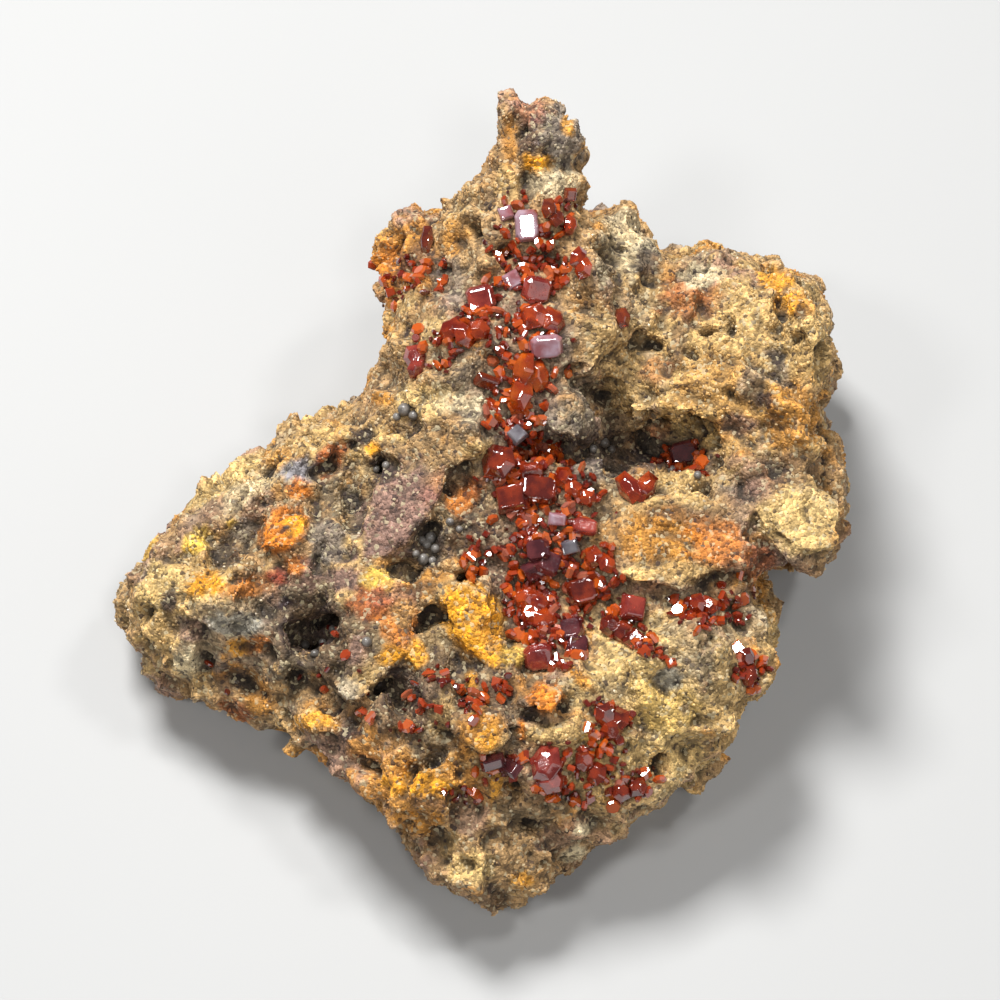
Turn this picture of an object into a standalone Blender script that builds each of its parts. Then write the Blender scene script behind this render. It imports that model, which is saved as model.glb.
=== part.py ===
"""Wulfenite on matrix: a hand specimen of vuggy iron-stained rock with orange-red tablets.

The rock rests on its flat underside. Its display side faces up and towards -Y, and the
horn stands at the back. Places on the display side are given as they appear from the
sight point: `across` to the right and `up` towards the horn, both in millimetres on the
display plane, which passes through the middle of the specimen square to the sight line.
"""

import math

import bmesh
import bpy
from mathutils import Matrix, Quaternion, Vector, noise
from mathutils.bvhtree import BVHTree

MM = 0.001

# Driving dimensions, in millimetres and degrees.
DISPLAY_TILT = 58.0
SIGHT_DISTANCE = 380.0
DISPLAY_HEIGHT = 16.0
BODY_VOXEL = 1.0
ROUGHNESS = 1.3
ROUGH_PITCH = 7.0
FINE_ROUGHNESS = 0.5
FINE_PITCH = 2.6
MATRIX_FACES = 3500
SEAT_GAP = 0.3
GROUP_STEP = 0.35
LUMP_DETAIL = 4
HOLLOW_DETAIL = 3
RIM_NEAR = 0.8
RIM_FAR = 1.2
CUT_SIZE = 90.0

TILT = math.radians(DISPLAY_TILT)
SIGHT = Vector((0.0, math.cos(TILT), -math.sin(TILT)))
RIGHT = Vector((1.0, 0.0, 0.0))
UPWARD = Vector((0.0, math.sin(TILT), math.cos(TILT)))
MIDDLE = Vector((0.0, 0.0, DISPLAY_HEIGHT))
SIGHT_POINT = MIDDLE - SIGHT * SIGHT_DISTANCE

# Lumps of the rock: across, up, height of the centre, half sizes in x, y and z,
# turn about the vertical, and squareness (2 is round, 4 and over is blocky).
LUMPS = [
    ("core", 4.0, 3.0, 16.0, (25.0, 23.0, 16.0), 0.0, 2.4),
    ("front", 3.0, -23.0, 12.0, (25.0, 19.0, 13.0), 10.0, 2.4),
    ("arm root", -19.0, -9.0, 12.0, (16.0, 19.0, 13.0), 20.0, 2.6),
    ("arm", -31.0, -11.0, 11.0, (13.0, 13.0, 12.0), 30.0, 2.6),
    ("arm end", -39.0, -14.0, 10.0, (8.5, 9.0, 10.0), 20.0, 2.4),
    ("arm crest", -26.0, 0.0, 13.0, (14.0, 8.0, 11.0), 38.0, 2.6),
    ("right block", 29.0, 15.0, 19.0, (12.5, 15.0, 16.0), -8.0, 4.5),
    ("right shoulder", 31.0, 1.0, 18.0, (10.0, 9.0, 12.0), 0.0, 3.0),
    ("corner slab", 35.5, -3.0, 24.0, (6.5, 5.0, 4.5), -14.0, 5.0),
    ("ledge", 21.5, -4.5, 20.0, (12.0, 7.0, 8.5), 0.0, 3.5),
    ("right lobe", 21.0, -20.5, 12.0, (14.0, 15.0, 12.5), 20.0, 2.6),
    ("lobe edge", 27.5, -15.0, 11.0, (8.0, 10.0, 10.0), 0.0, 2.6),
    ("horn foot", 2.0, 17.5, 26.0, (15.5, 12.0, 13.0), 0.0, 2.4),
    ("horn waist", 3.0, 29.0, 30.0, (11.0, 9.0, 13.0), 0.0, 2.2),
    ("horn neck", 4.5, 37.0, 35.0, (7.0, 6.5, 11.0), 0.0, 2.2),
    ("horn head", 5.0, 43.0, 40.0, (6.0, 4.5, 7.0), 0.0, 2.2),
    ("horn tip", 2.5, 47.5, 44.0, (3.2, 3.0, 5.0), 0.0, 2.0),
    ("horn back", 3.0, 23.0, 13.0, (15.0, 13.0, 15.0), 12.0, 3.2),
    ("back wall", 12.0, 17.0, 10.0, (27.0, 16.0, 12.0), -6.0, 3.2),
    ("left back", -9.0, 10.0, 9.5, (16.0, 13.0, 11.0), 34.0, 3.0),
    ("under right", 23.0, -3.0, 7.0, (14.0, 14.0, 8.5), 10.0, 3.0),
    ("left knob", -11.5, 29.0, 24.0, (5.5, 5.5, 8.0), 0.0, 2.4),
    ("left flank", -7.5, 23.0, 22.0, (8.0, 9.0, 13.0), 0.0, 2.4),
    ("grey knob", 14.0, 31.0, 27.0, (4.0, 4.5, 9.0), 0.0, 2.2),
    ("right flank", 14.0, 20.0, 23.0, (9.0, 11.0, 12.0), 0.0, 2.4),
    ("front left", -13.0, -30.0, 8.5, (12.0, 10.0, 9.5), 30.0, 2.6),
    ("front right", 12.0, -31.5, 9.0, (14.0, 11.0, 10.0), -20.0, 2.6),
    ("front tip", -2.5, -41.0, 6.5, (11.0, 9.5, 8.0), 0.0, 2.8),
    ("tip end", -1.0, -46.5, 5.0, (5.5, 5.0, 5.5), 0.0, 2.4),
]

# Plates and bosses that stand on the display side: across, up, half width, half length,
# half thickness, how far the middle stands out, turn on the display plane, squareness.
BOSSES = [
    ("mauve slab", -12.2, -3.2, 3.6, 8.6, 2.2, 0.3, -40.0, 4.0),
    ("golden plate", -1.8, -15.4, 3.2, 5.8, 1.5, 0.7, 22.0, 4.0),
    ("rust plate", -14.6, -17.6, 5.6, 6.8, 2.2, 0.4, -30.0, 4.0),
    ("ochre fragment", -21.6, -26.6, 3.0, 1.7, 1.6, 0.8, 10.0, 4.0),
    ("five-sided plate", 5.6, -24.0, 2.4, 2.0, 1.2, 0.7, 15.0, 4.0),
    ("ochre nodule", -2.6, -27.8, 2.8, 2.8, 2.0, 0.5, 0.0, 2.2),
    ("ochre ridge", 9.2, -21.6, 3.4, 1.3, 1.4, 0.5, -20.0, 3.0),
    ("pale shoulder", -6.6, 13.6, 4.6, 3.4, 3.0, 0.5, 20.0, 2.6),
    ("cavity lip", -3.4, 7.2, 4.2, 3.0, 2.6, 0.6, -20.0, 2.6),
    ("pale finger", 7.4, 9.4, 2.2, 4.2, 2.4, 0.6, 5.0, 2.6),
    ("horn rib left", -2.0, 29.0, 2.2, 6.5, 2.2, 0.2, -12.0, 2.6),
    ("horn rib right", 11.6, 24.0, 2.0, 6.5, 2.4, 0.6, 12.0, 2.6),
    ("block edge", 36.4, 16.0, 2.0, 9.5, 2.0, 0.2, 0.0, 3.0),
    ("arm ridge", -26.0, 2.4, 10.0, 1.8, 2.0, 0.3, 38.0, 2.6),
    ("arm boss", -34.0, -12.0, 4.5, 3.6, 2.4, 0.4, 30.0, 2.6),
    ("orange boss", -25.6, -4.0, 3.4, 3.2, 2.2, 0.4, 0.0, 2.6),
    ("ribbed boss", -20.4, -5.0, 2.0, 3.6, 2.0, 0.4, -20.0, 2.6),
    ("arm foot boss", -28.0, -24.4, 3.6, 2.6, 2.4, 0.4, 0.0, 2.6),
    ("ledge lip", 21.0, -7.4, 8.5, 2.2, 2.2, 0.6, 4.0, 3.0),
    ("lobe back", 22.0, -22.0, 6.0, 7.0, 2.4, 0.2, 30.0, 2.6),
    ("front boss", -9.6, -35.6, 3.6, 3.0, 2.4, 0.3, 0.0, 2.6),
    ("tip boss", -3.6, -42.6, 3.4, 3.4, 2.2, 0.2, 0.0, 2.6),
]

# Rim of the rock, clockwise from the horn's tip: across and up.
RIM = [
    (2.0, 49.2), (5.4, 47.0), (7.8, 45.8), (10.0, 42.0), (9.4, 36.6), (9.1, 34.8),
    (10.8, 33.4), (14.2, 34.7), (16.2, 34.4), (17.2, 32.4), (16.8, 30.0), (20.6, 29.0),
    (24.6, 30.2), (29.4, 28.1), (34.0, 28.0), (37.0, 25.4), (39.0, 21.8), (38.6, 18.6),
    (39.4, 15.6), (38.2, 12.0), (39.1, 7.2), (39.4, 4.6), (40.6, 3.4), (41.0, 0.6),
    (41.2, -1.8), (40.1, -6.2), (35.4, -7.0), (31.4, -7.4), (31.0, -9.0), (32.4, -14.4),
    (32.8, -17.4), (31.6, -22.2), (28.2, -25.0), (25.0, -31.8), (22.8, -34.3),
    (19.8, -34.7), (18.6, -36.7), (14.4, -38.6), (10.2, -42.0), (7.2, -43.4),
    (2.4, -46.8), (-1.2, -49.1), (-5.4, -47.2), (-8.4, -43.9), (-11.0, -40.6),
    (-11.8, -37.2), (-16.2, -35.4), (-19.8, -32.2), (-21.6, -29.8), (-25.8, -29.4),
    (-27.6, -27.4), (-29.8, -29.0), (-32.2, -27.0), (-37.2, -24.8), (-41.4, -22.6),
    (-42.5, -20.2), (-41.8, -18.0), (-45.0, -14.4), (-45.7, -12.5), (-45.4, -9.0),
    (-42.6, -7.2), (-40.2, -5.8), (-37.7, -3.0), (-37.2, -1.0), (-35.4, 1.0),
    (-31.8, 3.6), (-28.6, 5.4), (-25.2, 7.7), (-24.0, 9.1), (-20.4, 9.8), (-16.8, 12.2),
    (-15.0, 13.8), (-13.4, 18.0), (-12.6, 22.6), (-12.2, 24.0), (-14.4, 25.8),
    (-15.5, 30.6), (-12.0, 33.0), (-9.4, 34.4), (-7.2, 33.8), (-5.4, 36.0), (-3.4, 39.4),
    (-1.2, 40.8), (0.0, 43.8), (1.0, 48.0),
]

# Hollows opening on the display side: across, up, half width, half length, depth and
# turn on the display plane.
HOLLOWS = [
    ("main hollow", 17.8, 6.6, 8.6, 4.0, 15.0, 4.0),
    ("main hollow throat", 7.6, 5.6, 6.5, 1.9, 10.0, -6.0),
    ("main hollow chimney", 13.4, 10.0, 2.8, 3.2, 11.0, 0.0),
    ("left hollow", -22.6, -15.8, 3.9, 3.9, 8.0, 0.0),
    ("left hollow corner", -24.5, -22.5, 1.7, 2.2, 4.0, 0.0),
    ("arm hole", -39.6, -12.0, 0.9, 1.5, 3.5, 0.0),
    ("crest hole", -14.4, 4.0, 1.3, 1.6, 4.0, 0.0),
    ("ball hollow", -9.2, -3.6, 1.8, 3.6, 5.0, -15.0),
    ("front hole", -18.0, -27.4, 1.3, 1.3, 3.5, 0.0),
    ("plate hole", -13.2, -22.8, 1.8, 2.0, 4.0, 0.0),
    ("ledge undercut", 22.5, -10.6, 7.5, 1.0, 3.5, 0.0),
    ("knob gap", 17.4, 27.6, 1.0, 2.8, 7.0, 0.0),
    ("slab gap", 31.0, -3.6, 1.0, 3.2, 4.0, 10.0),
]


# Crystal habits: corner cut and table size, as shares of the tablet's half size.
SQUARE = (0.0, 0.8)
PLATE = (0.3, 0.84)
LENS = (0.42, 0.5)
HEXAGON_CUT = 0.4

# Crystals and grown-together groups, each a node: its finish, then its tablets. A tablet
# has its place across and up, how far its centre stands out of the rock, its width, length
# and thickness, its lean to the right and upwards, its turn, and its habit.
CRYSTALS = {
    "lavender_tablet": ("lavender", [(3.2, 32.9, 0.2, 2.4, 3.5, 1.1, 4, -6, 4, PLATE)]),
    "bluish_tablet": ("lavender", [(0.7, 34.4, 0.1, 1.5, 1.5, 0.7, -8, 10, 20, SQUARE)]),
    "horn_brown_group": ("red_brown", [
        (5.9, 35.0, 0.2, 1.9, 2.1, 1.1, 35, 0, 10, LENS),
        (6.7, 33.8, 0.3, 1.8, 2.2, 1.0, -30, 25, 40, LENS),
    ]),
    "horn_orange_lens": ("orange_red", [(8.4, 33.0, 0.3, 1.7, 2.2, 1.0, 40, 10, -20, LENS)]),
    "horn_edge_crystal": ("red_brown", [(8.4, 36.6, 0.2, 1.3, 1.5, 0.8, 20, -20, 0, SQUARE)]),
    "waist_orange_pair": ("orange_red", [
        (9.4, 29.0, 0.3, 2.0, 2.3, 1.2, 30, 0, -30, LENS),
        (10.0, 27.8, 0.3, 2.2, 2.2, 1.2, -35, 10, 15, LENS),
    ]),
    "round_pink_disc": ("pink_red", [(-2.3, 24.2, 0.3, 3.1, 2.7, 1.3, -10, -8, 12, PLATE)]),
    "pale_tablet": ("lavender", [(1.5, 26.4, 0.2, 1.8, 1.8, 0.8, 10, 0, 30, SQUARE)]),
    "pink_flat_tablet": ("pink_red", [(4.4, 25.2, 0.2, 3.1, 2.7, 1.2, 8, -12, -12, PLATE)]),
    "red_blades": ("orange_red", [
        (-6.0, 20.5, 0.5, 2.8, 2.3, 1.2, -35, 20, 20, LENS),
        (-4.2, 19.8, 0.6, 3.0, 2.6, 1.4, 40, 15, -25, LENS),
        (-2.6, 20.3, 0.4, 2.6, 2.2, 1.2, -10, -25, 10, LENS),
    ]),
    "left_pink_disc": ("pink_red", [
        (-10.2, 17.2, 0.3, 2.5, 2.4, 1.1, -10, 0, 10, LENS),
        (-10.0, 15.7, 0.3, 2.0, 2.0, 1.0, 15, -20, 0, LENS),
    ]),
    "big_red_lens": ("orange_red", [
        (4.0, 22.0, 0.6, 3.4, 2.8, 1.5, -25, 20, 15, LENS),
        (6.3, 21.6, 0.6, 3.2, 2.6, 1.4, 30, 15, -20, LENS),
    ]),
    "pink_tablet": ("lavender", [(5.6, 18.4, 0.4, 3.5, 2.4, 1.1, 6, -18, 6, PLATE)]),
    "orange_lenses": ("bright_orange", [
        (2.8, 15.7, 0.7, 2.8, 3.7, 1.5, -36, 8, -14, LENS),
        (4.6, 14.9, 0.5, 2.8, 3.3, 1.5, 34, 0, 16, LENS),
        (2.5, 12.9, 0.7, 2.9, 4.0, 1.7, -26, 10, -10, LENS),
    ]),
    "glinting_blade": ("red_brown", [(-1.6, 14.2, 0.3, 2.9, 1.5, 0.8, 10, -45, -24, SQUARE)]),
    "small_red_knob": ("orange_red", [(-1.4, 11.3, 0.3, 1.9, 2.0, 1.1, -20, 10, 35, LENS)]),
    "dark_silver_crystal": ("grey", [(2.0, 7.8, 0.3, 1.9, 1.8, 1.1, 10, 20, 40, SQUARE)]),
    "big_dark_disc": ("deep_red", [(-0.2, 4.6, 0.9, 4.0, 3.5, 1.6, -18, 14, -12, LENS)]),
    "grey_topped_block": ("deep_red", [
        (3.8, 3.2, 0.5, 2.4, 2.1, 1.5, 5, -25, 6, PLATE),
        (4.6, 1.2, 0.6, 4.1, 2.8, 1.8, 8, 20, -8, PLATE),
        (1.5, 0.2, 0.4, 3.5, 3.0, 1.7, -15, 15, 12, SQUARE),
    ]),
    "orange_knob_ridge": ("orange_red", [
        (7.6, 2.8, 0.4, 2.0, 2.0, 1.3, 0, 10, 0, LENS),
        (8.9, 1.4, 0.3, 2.4, 1.8, 1.2, 20, 25, -35, LENS),
        (10.4, 0.2, 0.3, 2.0, 1.7, 1.1, -15, -20, -20, LENS),
    ]),
    "bluish_face": ("lavender", [(6.9, -2.3, 0.3, 1.9, 1.3, 1.0, 6, -10, -4, SQUARE)]),
    "heart_twin": ("orange_red", [
        (15.4, 1.5, 0.7, 2.3, 3.5, 1.4, -22, 8, 38, LENS),
        (17.4, 1.5, 0.7, 2.3, 3.5, 1.4, 22, 8, -38, LENS),
    ]),
    "small_heart_neighbour": ("red_brown", [(14.6, -2.0, 0.3, 1.6, 1.5, 0.9, 15, 0, 25, LENS)]),
    "mauve_red_crystal": ("pink_red", [(10.2, -3.2, 0.3, 2.7, 1.7, 1.0, 10, 20, -10, PLATE)]),
    "metallic_grey_crystal": ("grey", [(8.4, -5.6, 0.3, 1.8, 1.5, 1.1, -5, -10, 15, SQUARE)]),
    "red_ridge": ("orange_red", [
        (11.2, -6.8, 0.3, 2.1, 2.2, 1.1, -25, 0, 20, LENS),
        (12.9, -7.6, 0.3, 2.2, 2.0, 1.1, 25, 20, -20, LENS),
    ]),
    "brown_purple_group": ("purple_brown", [
        (4.6, -6.0, 0.4, 2.4, 2.2, 1.3, -25, 10, 10, PLATE),
        (5.8, -7.6, 0.4, 2.4, 2.5, 1.3, 20, 20, -25, PLATE),
        (4.0, -8.4, 0.4, 2.2, 2.0, 1.2, 10, -30, 30, SQUARE),
    ]),
    "red_block_mid": ("deep_red", [(9.8, -11.0, 0.5, 3.0, 2.8, 1.8, 12, 12, 14, PLATE)]),
    "boxy_red_tablet": ("pink_red", [(15.9, -12.9, 0.6, 2.6, 2.6, 1.6, 20, 12, -12, SQUARE)]),
    "red_vein": ("deep_red", [
        (13.2, -15.1, 0.3, 2.4, 2.1, 1.3, 20, 10, -40, LENS),
        (14.6, -15.9, 0.3, 2.5, 2.1, 1.3, -20, 0, -30, LENS),
        (16.1, -16.7, 0.3, 2.5, 2.1, 1.3, 10, 20, -40, LENS),
        (17.7, -17.6, 0.3, 2.5, 2.1, 1.3, 15, -15, -30, LENS),
        (19.2, -18.5, 0.3, 2.5, 2.1, 1.3, -15, 10, -40, LENS),
        (20.7, -19.6, 0.3, 2.4, 2.1, 1.3, 10, 10, -30, LENS),
    ]),
    "orange_druse_group": ("orange_red", [
        (23.6, -12.4, 0.3, 1.9, 2.0, 1.1, -30, 10, 10, LENS),
        (25.2, -12.8, 0.3, 2.0, 1.8, 1.1, 20, -20, 40, LENS),
        (24.2, -14.2, 0.3, 1.9, 1.8, 1.1, 10, 25, -20, LENS),
    ]),
    "right_red_patch": ("deep_red", [
        (29.6, -19.0, 0.3, 1.9, 2.1, 1.1, 20, 0, 15, LENS),
        (29.8, -21.0, 0.3, 1.8, 2.2, 1.1, -20, 15, -10, LENS),
    ]),
    "blade_field": ("orange_red", [
        (2.9, -11.8, 0.5, 2.9, 2.3, 1.3, -30, 20, 15, LENS),
        (4.7, -12.3, 0.5, 2.9, 2.3, 1.3, 25, 15, -20, LENS),
        (3.8, -13.6, 0.5, 2.9, 2.5, 1.3, -10, 25, 5, LENS),
        (5.3, -14.4, 0.5, 2.8, 2.4, 1.3, 30, 10, 20, LENS),
    ]),
    "purple_group": ("purple_brown", [
        (8.6, -15.4, 0.4, 2.3, 2.2, 1.3, -15, 10, 12, PLATE),
        (9.2, -17.4, 0.4, 2.2, 2.3, 1.2, 20, 25, -15, PLATE),
    ]),
    "white_faced_block": ("pink_red", [(4.6, -18.8, 0.5, 3.0, 2.6, 1.7, 8, -14, 10, PLATE)]),
    "granular_red_group": ("deep_red", [
        (12.7, -25.8, 0.3, 2.4, 2.3, 1.3, 25, 0, 20, LENS),
        (14.2, -26.3, 0.3, 2.4, 2.3, 1.3, -25, 15, -20, LENS),
        (13.4, -27.6, 0.3, 2.4, 2.3, 1.3, 10, -15, 0, LENS),
    ]),
    "front_lens_group": ("pink_red", [
        (5.5, -31.6, 0.6, 3.3, 3.8, 1.7, -15, 10, -10, LENS),
        (6.2, -33.6, 0.5, 2.7, 2.6, 1.5, 20, 0, 10, LENS),
    ]),
    "front_dark_blades": ("purple_brown", [
        (-0.9, -31.4, 0.3, 2.5, 1.6, 0.9, 15, -35, 20, SQUARE),
        (1.2, -32.2, 0.3, 2.4, 1.6, 0.9, -20, 35, -25, SQUARE),
    ]),
    "front_red_group": ("deep_red", [
        (10.2, -31.2, 0.4, 2.3, 2.2, 1.2, 20, 10, 20, LENS),
        (11.6, -32.8, 0.4, 2.2, 2.3, 1.2, -25, 15, -25, LENS),
    ]),
    "edge_red_row": ("deep_red", [
        (14.6, -35.0, 0.3, 2.2, 1.9, 1.2, 15, 15, 25, LENS),
        (16.4, -34.4, 0.3, 2.2, 2.0, 1.2, -20, 20, 10, LENS),
    ]),
    "knob_blade": ("red_brown", [(-8.8, 31.2, 0.3, 1.6, 3.2, 0.9, -25, 0, -6, LENS)]),
    "pit_crystal": ("red_brown", [(14.6, 21.8, 0.3, 1.9, 2.2, 1.1, -10, 10, 10, LENS)]),
    "deep_crystal": ("purple_brown", [(22.2, 5.6, 0.5, 3.4, 2.8, 1.4, -10, 10, 15, PLATE)]),
}

# Colour, roughness and metallic value of each finish.
FINISHES = {
    "tan_rock": ((0.38, 0.27, 0.15), 0.95, 0.0),
    "orange_red": ((0.60, 0.09, 0.02), 0.12, 0.0),
    "bright_orange": ((0.80, 0.17, 0.02), 0.12, 0.0),
    "deep_red": ((0.28, 0.03, 0.02), 0.12, 0.0),
    "pink_red": ((0.52, 0.12, 0.09), 0.15, 0.0),
    "red_brown": ((0.34, 0.08, 0.03), 0.15, 0.0),
    "purple_brown": ((0.16, 0.05, 0.06), 0.15, 0.0),
    "lavender": ((0.58, 0.48, 0.55), 0.15, 0.0),
    "grey": ((0.30, 0.29, 0.30), 0.15, 0.0),
}


def display_point(across, up, height):
    """The point at a height, in millimetres, on the sight line through a display place."""
    target = MIDDLE + RIGHT * across + UPWARD * up
    share = (height - SIGHT_POINT.z) / (target.z - SIGHT_POINT.z)
    return SIGHT_POINT + (target - SIGHT_POINT) * share


def make_mesh(name, builder):
    """A mesh made by a function that fills a bmesh in millimetres."""
    shape = bmesh.new()
    builder(shape)
    bmesh.ops.scale(shape, vec=(MM, MM, MM), verts=shape.verts)
    bmesh.ops.recalc_face_normals(shape, faces=shape.faces)
    mesh = bpy.data.meshes.new(name)
    shape.to_mesh(mesh)
    shape.free()
    return mesh


def add_object(name, mesh):
    item = bpy.data.objects.new(name, mesh)
    bpy.context.scene.collection.objects.link(item)
    return item


def make_guide(item):
    item.hide_render = True
    item.display_type = "WIRE"
    return item


def add_lump(shape, centre, half, spin, squareness):
    """One closed rounded block, with its vertices on a super-ellipsoid."""
    made = bmesh.ops.create_icosphere(shape, subdivisions=LUMP_DETAIL, radius=1.0)
    for vertex in made["verts"]:
        way = vertex.co.normalized()
        reach = sum(abs(part) ** squareness for part in way) ** (-1.0 / squareness)
        local = Vector((way.x * half[0], way.y * half[1], way.z * half[2])) * reach
        vertex.co = centre + spin @ local


def fill_body(shape):
    for _, across, up, height, half, turn, squareness in LUMPS:
        spin = Matrix.Rotation(math.radians(turn), 3, "Z")
        add_lump(shape, display_point(across, up, height), half, spin, squareness)


def display_frame(turn):
    """Rotation whose X and Y lie on the display plane, and whose Z points at the viewer."""
    spin = math.radians(turn)
    side = RIGHT * math.cos(spin) + UPWARD * math.sin(spin)
    along = UPWARD * math.cos(spin) - RIGHT * math.sin(spin)
    return Matrix((side, along, -SIGHT)).transposed()


def boss_builder(tree):
    def fill(shape):
        for _, across, up, half_width, half_length, half_depth, proud, turn, squareness in BOSSES:
            place, _ = first_hit(tree, across, up)
            half = (half_width, half_length, half_depth)
            add_lump(shape, place - SIGHT * proud, half, display_frame(turn), squareness)

    return fill


def fill_rim(shape):
    """A tapered prism whose sides are the sight lines through the rim."""
    near = []
    far = []
    for across, up in RIM:
        target = MIDDLE + RIGHT * across + UPWARD * up
        near.append(shape.verts.new(SIGHT_POINT.lerp(target, RIM_NEAR)))
        far.append(shape.verts.new(SIGHT_POINT.lerp(target, RIM_FAR)))
    shape.faces.new(near)
    shape.faces.new(list(reversed(far)))
    for first in range(len(RIM)):
        second = (first + 1) % len(RIM)
        shape.faces.new((near[second], near[first], far[first], far[second]))


def first_hit(tree, across, up):
    """Where the sight line through a display place meets a surface, in millimetres."""
    target = MIDDLE + RIGHT * across + UPWARD * up
    ray = (target - SIGHT_POINT).normalized()
    place, normal, _, _ = tree.ray_cast(SIGHT_POINT * MM, ray)
    if place is None:
        raise ValueError(f"nothing lies behind {across}, {up}")
    return place / MM, normal


def surface_tree(item):
    graph = bpy.context.evaluated_depsgraph_get()
    return BVHTree.FromObject(item, graph)


def hollow_builder(tree, row):
    """An egg that sinks into the surface along the sight line."""
    _, across, up, half_width, half_length, depth, turn = row

    def fill(shape):
        place, _ = first_hit(tree, across, up)
        frame = display_frame(turn)
        made = bmesh.ops.create_icosphere(shape, subdivisions=HOLLOW_DETAIL, radius=1.0)
        for vertex in made["verts"]:
            local = vertex.co
            vertex.co = place + frame @ Vector((local.x * half_width, local.y * half_length, local.z * depth))

    return fill


def add_boolean(item, cutter, operation):
    change = item.modifiers.new(cutter.name, "BOOLEAN")
    change.object = cutter
    change.operation = operation
    change.solver = "EXACT"


def settle(item):
    """Replace an object's mesh by its evaluated one and drop the modifiers."""
    graph = bpy.context.evaluated_depsgraph_get()
    made = bpy.data.meshes.new_from_object(item.evaluated_get(graph))
    item.modifiers.clear()
    item.data = made


def roughen(item):
    """Move each vertex along its normal by two octaves of noise."""
    for vertex in item.data.vertices:
        place = vertex.co / MM
        shift = ROUGHNESS * noise.noise(place / ROUGH_PITCH)
        shift += FINE_ROUGHNESS * noise.noise(place / FINE_PITCH + Vector((9.0, 4.0, 2.0)))
        vertex.co = vertex.co + vertex.normal * (shift * MM)


def keep_largest(item):
    """Drop every loose crumb but the rock itself."""
    shape = bmesh.new()
    shape.from_mesh(item.data)
    waiting = set(shape.verts)
    bodies = []
    while waiting:
        body = [waiting.pop()]
        for vertex in body:
            for edge in vertex.link_edges:
                other = edge.other_vert(vertex)
                if other in waiting:
                    waiting.remove(other)
                    body.append(other)
        bodies.append(body)
    bodies.sort(key=len)
    crumbs = [vertex for body in bodies[:-1] for vertex in body]
    bmesh.ops.delete(shape, geom=crumbs, context="VERTS")
    shape.to_mesh(item.data)
    shape.free()


def box_builder(low, high):
    def fill(shape):
        made = bmesh.ops.create_cube(shape, size=1.0)
        for vertex in made["verts"]:
            share = vertex.co + Vector((0.5, 0.5, 0.5))
            vertex.co = Vector(low[axis] + (high[axis] - low[axis]) * share[axis] for axis in range(3))

    return fill


def remesh(item):
    """Unite overlapping shells into one skin of even squares."""
    unite = item.modifiers.new("unite", "REMESH")
    unite.mode = "VOXEL"
    unite.voxel_size = BODY_VOXEL * MM
    settle(item)


def cut_hollows(rock):
    tree = surface_tree(rock)
    for row in HOLLOWS:
        cutter = make_guide(add_object(row[0], make_mesh(row[0], hollow_builder(tree, row))))
        add_boolean(rock, cutter, "DIFFERENCE")
    settle(rock)


def build_matrix():
    lumps = make_guide(add_object("lumps", make_mesh("lumps", fill_body)))
    tree = surface_tree(lumps)

    def fill(shape):
        fill_body(shape)
        boss_builder(tree)(shape)

    rock = add_object("matrix", make_mesh("matrix", fill))
    remesh(rock)
    rim = make_guide(add_object("rim guide", make_mesh("rim", fill_rim)))
    add_boolean(rock, rim, "INTERSECT")
    settle(rock)
    cut_hollows(rock)
    remesh(rock)
    roughen(rock)
    thin = rock.modifiers.new("thin", "DECIMATE")
    thin.ratio = MATRIX_FACES / (2.0 * len(rock.data.polygons))
    settle(rock)
    under = box_builder((-CUT_SIZE, -CUT_SIZE, -CUT_SIZE), (CUT_SIZE, CUT_SIZE, 0.0))
    ground = make_guide(add_object("underside cut", make_mesh("underside cut", under)))
    add_boolean(rock, ground, "DIFFERENCE")
    settle(rock)
    keep_largest(rock)
    return rock


def tablet_outline(width, length, cut):
    """Corners of a rectangle, of an octagon where its corners are cut, or of a hexagon."""
    half_width = width / 2.0
    half_length = length / 2.0
    if cut == 0.0:
        return [(-half_width, -half_length), (half_width, -half_length),
                (half_width, half_length), (-half_width, half_length)]
    inner_x = half_width * (1.0 - cut)
    inner_y = half_length * (1.0 - cut)
    if cut >= HEXAGON_CUT:
        return [(-inner_x, -half_length), (inner_x, -half_length), (half_width, 0.0),
                (inner_x, half_length), (-inner_x, half_length), (-half_width, 0.0)]
    return [(-inner_x, -half_length), (inner_x, -half_length), (half_width, -inner_y),
            (half_width, inner_y), (inner_x, half_length), (-inner_x, half_length),
            (-half_width, inner_y), (-half_width, -inner_y)]


def tablet_builder(place, frame, size, habit):
    """A tablet with a flat table on each side and a sharp edge round its middle."""
    width, length, thickness = size
    cut, table = habit

    def fill(shape):
        outline = tablet_outline(width, length, cut)
        levels = ((-thickness / 2.0, table), (0.0, 1.0), (thickness / 2.0, table))
        rings = []
        for level, share in levels:
            points = [Vector((x * share, y * share, level)) for x, y in outline]
            rings.append([shape.verts.new(place + frame @ point) for point in points])
        shape.faces.new(list(reversed(rings[0])))
        shape.faces.new(rings[-1])
        count = len(outline)
        for lower, upper in zip(rings, rings[1:]):
            for first in range(count):
                second = (first + 1) % count
                shape.faces.new((lower[first], lower[second], upper[second], upper[first]))

    return fill


def tablet_frame(lean_right, lean_up, turn):
    right = Quaternion(UPWARD, math.radians(lean_right))
    upwards = Quaternion(RIGHT, math.radians(-lean_up))
    return (right @ upwards).to_matrix() @ display_frame(turn)


def group_places(tree, tablets):
    """Where the tablets of a group sit: on the rock, but close in depth to the one before."""
    places = []
    depth = None
    for across, up, *_ in tablets:
        place, _ = first_hit(tree, across, up)
        ray = (place - SIGHT_POINT).normalized()
        found = (place - SIGHT_POINT).length
        depth = found if depth is None else min(max(found, depth - GROUP_STEP), depth + GROUP_STEP)
        places.append(SIGHT_POINT + ray * depth)
    return places


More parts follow.
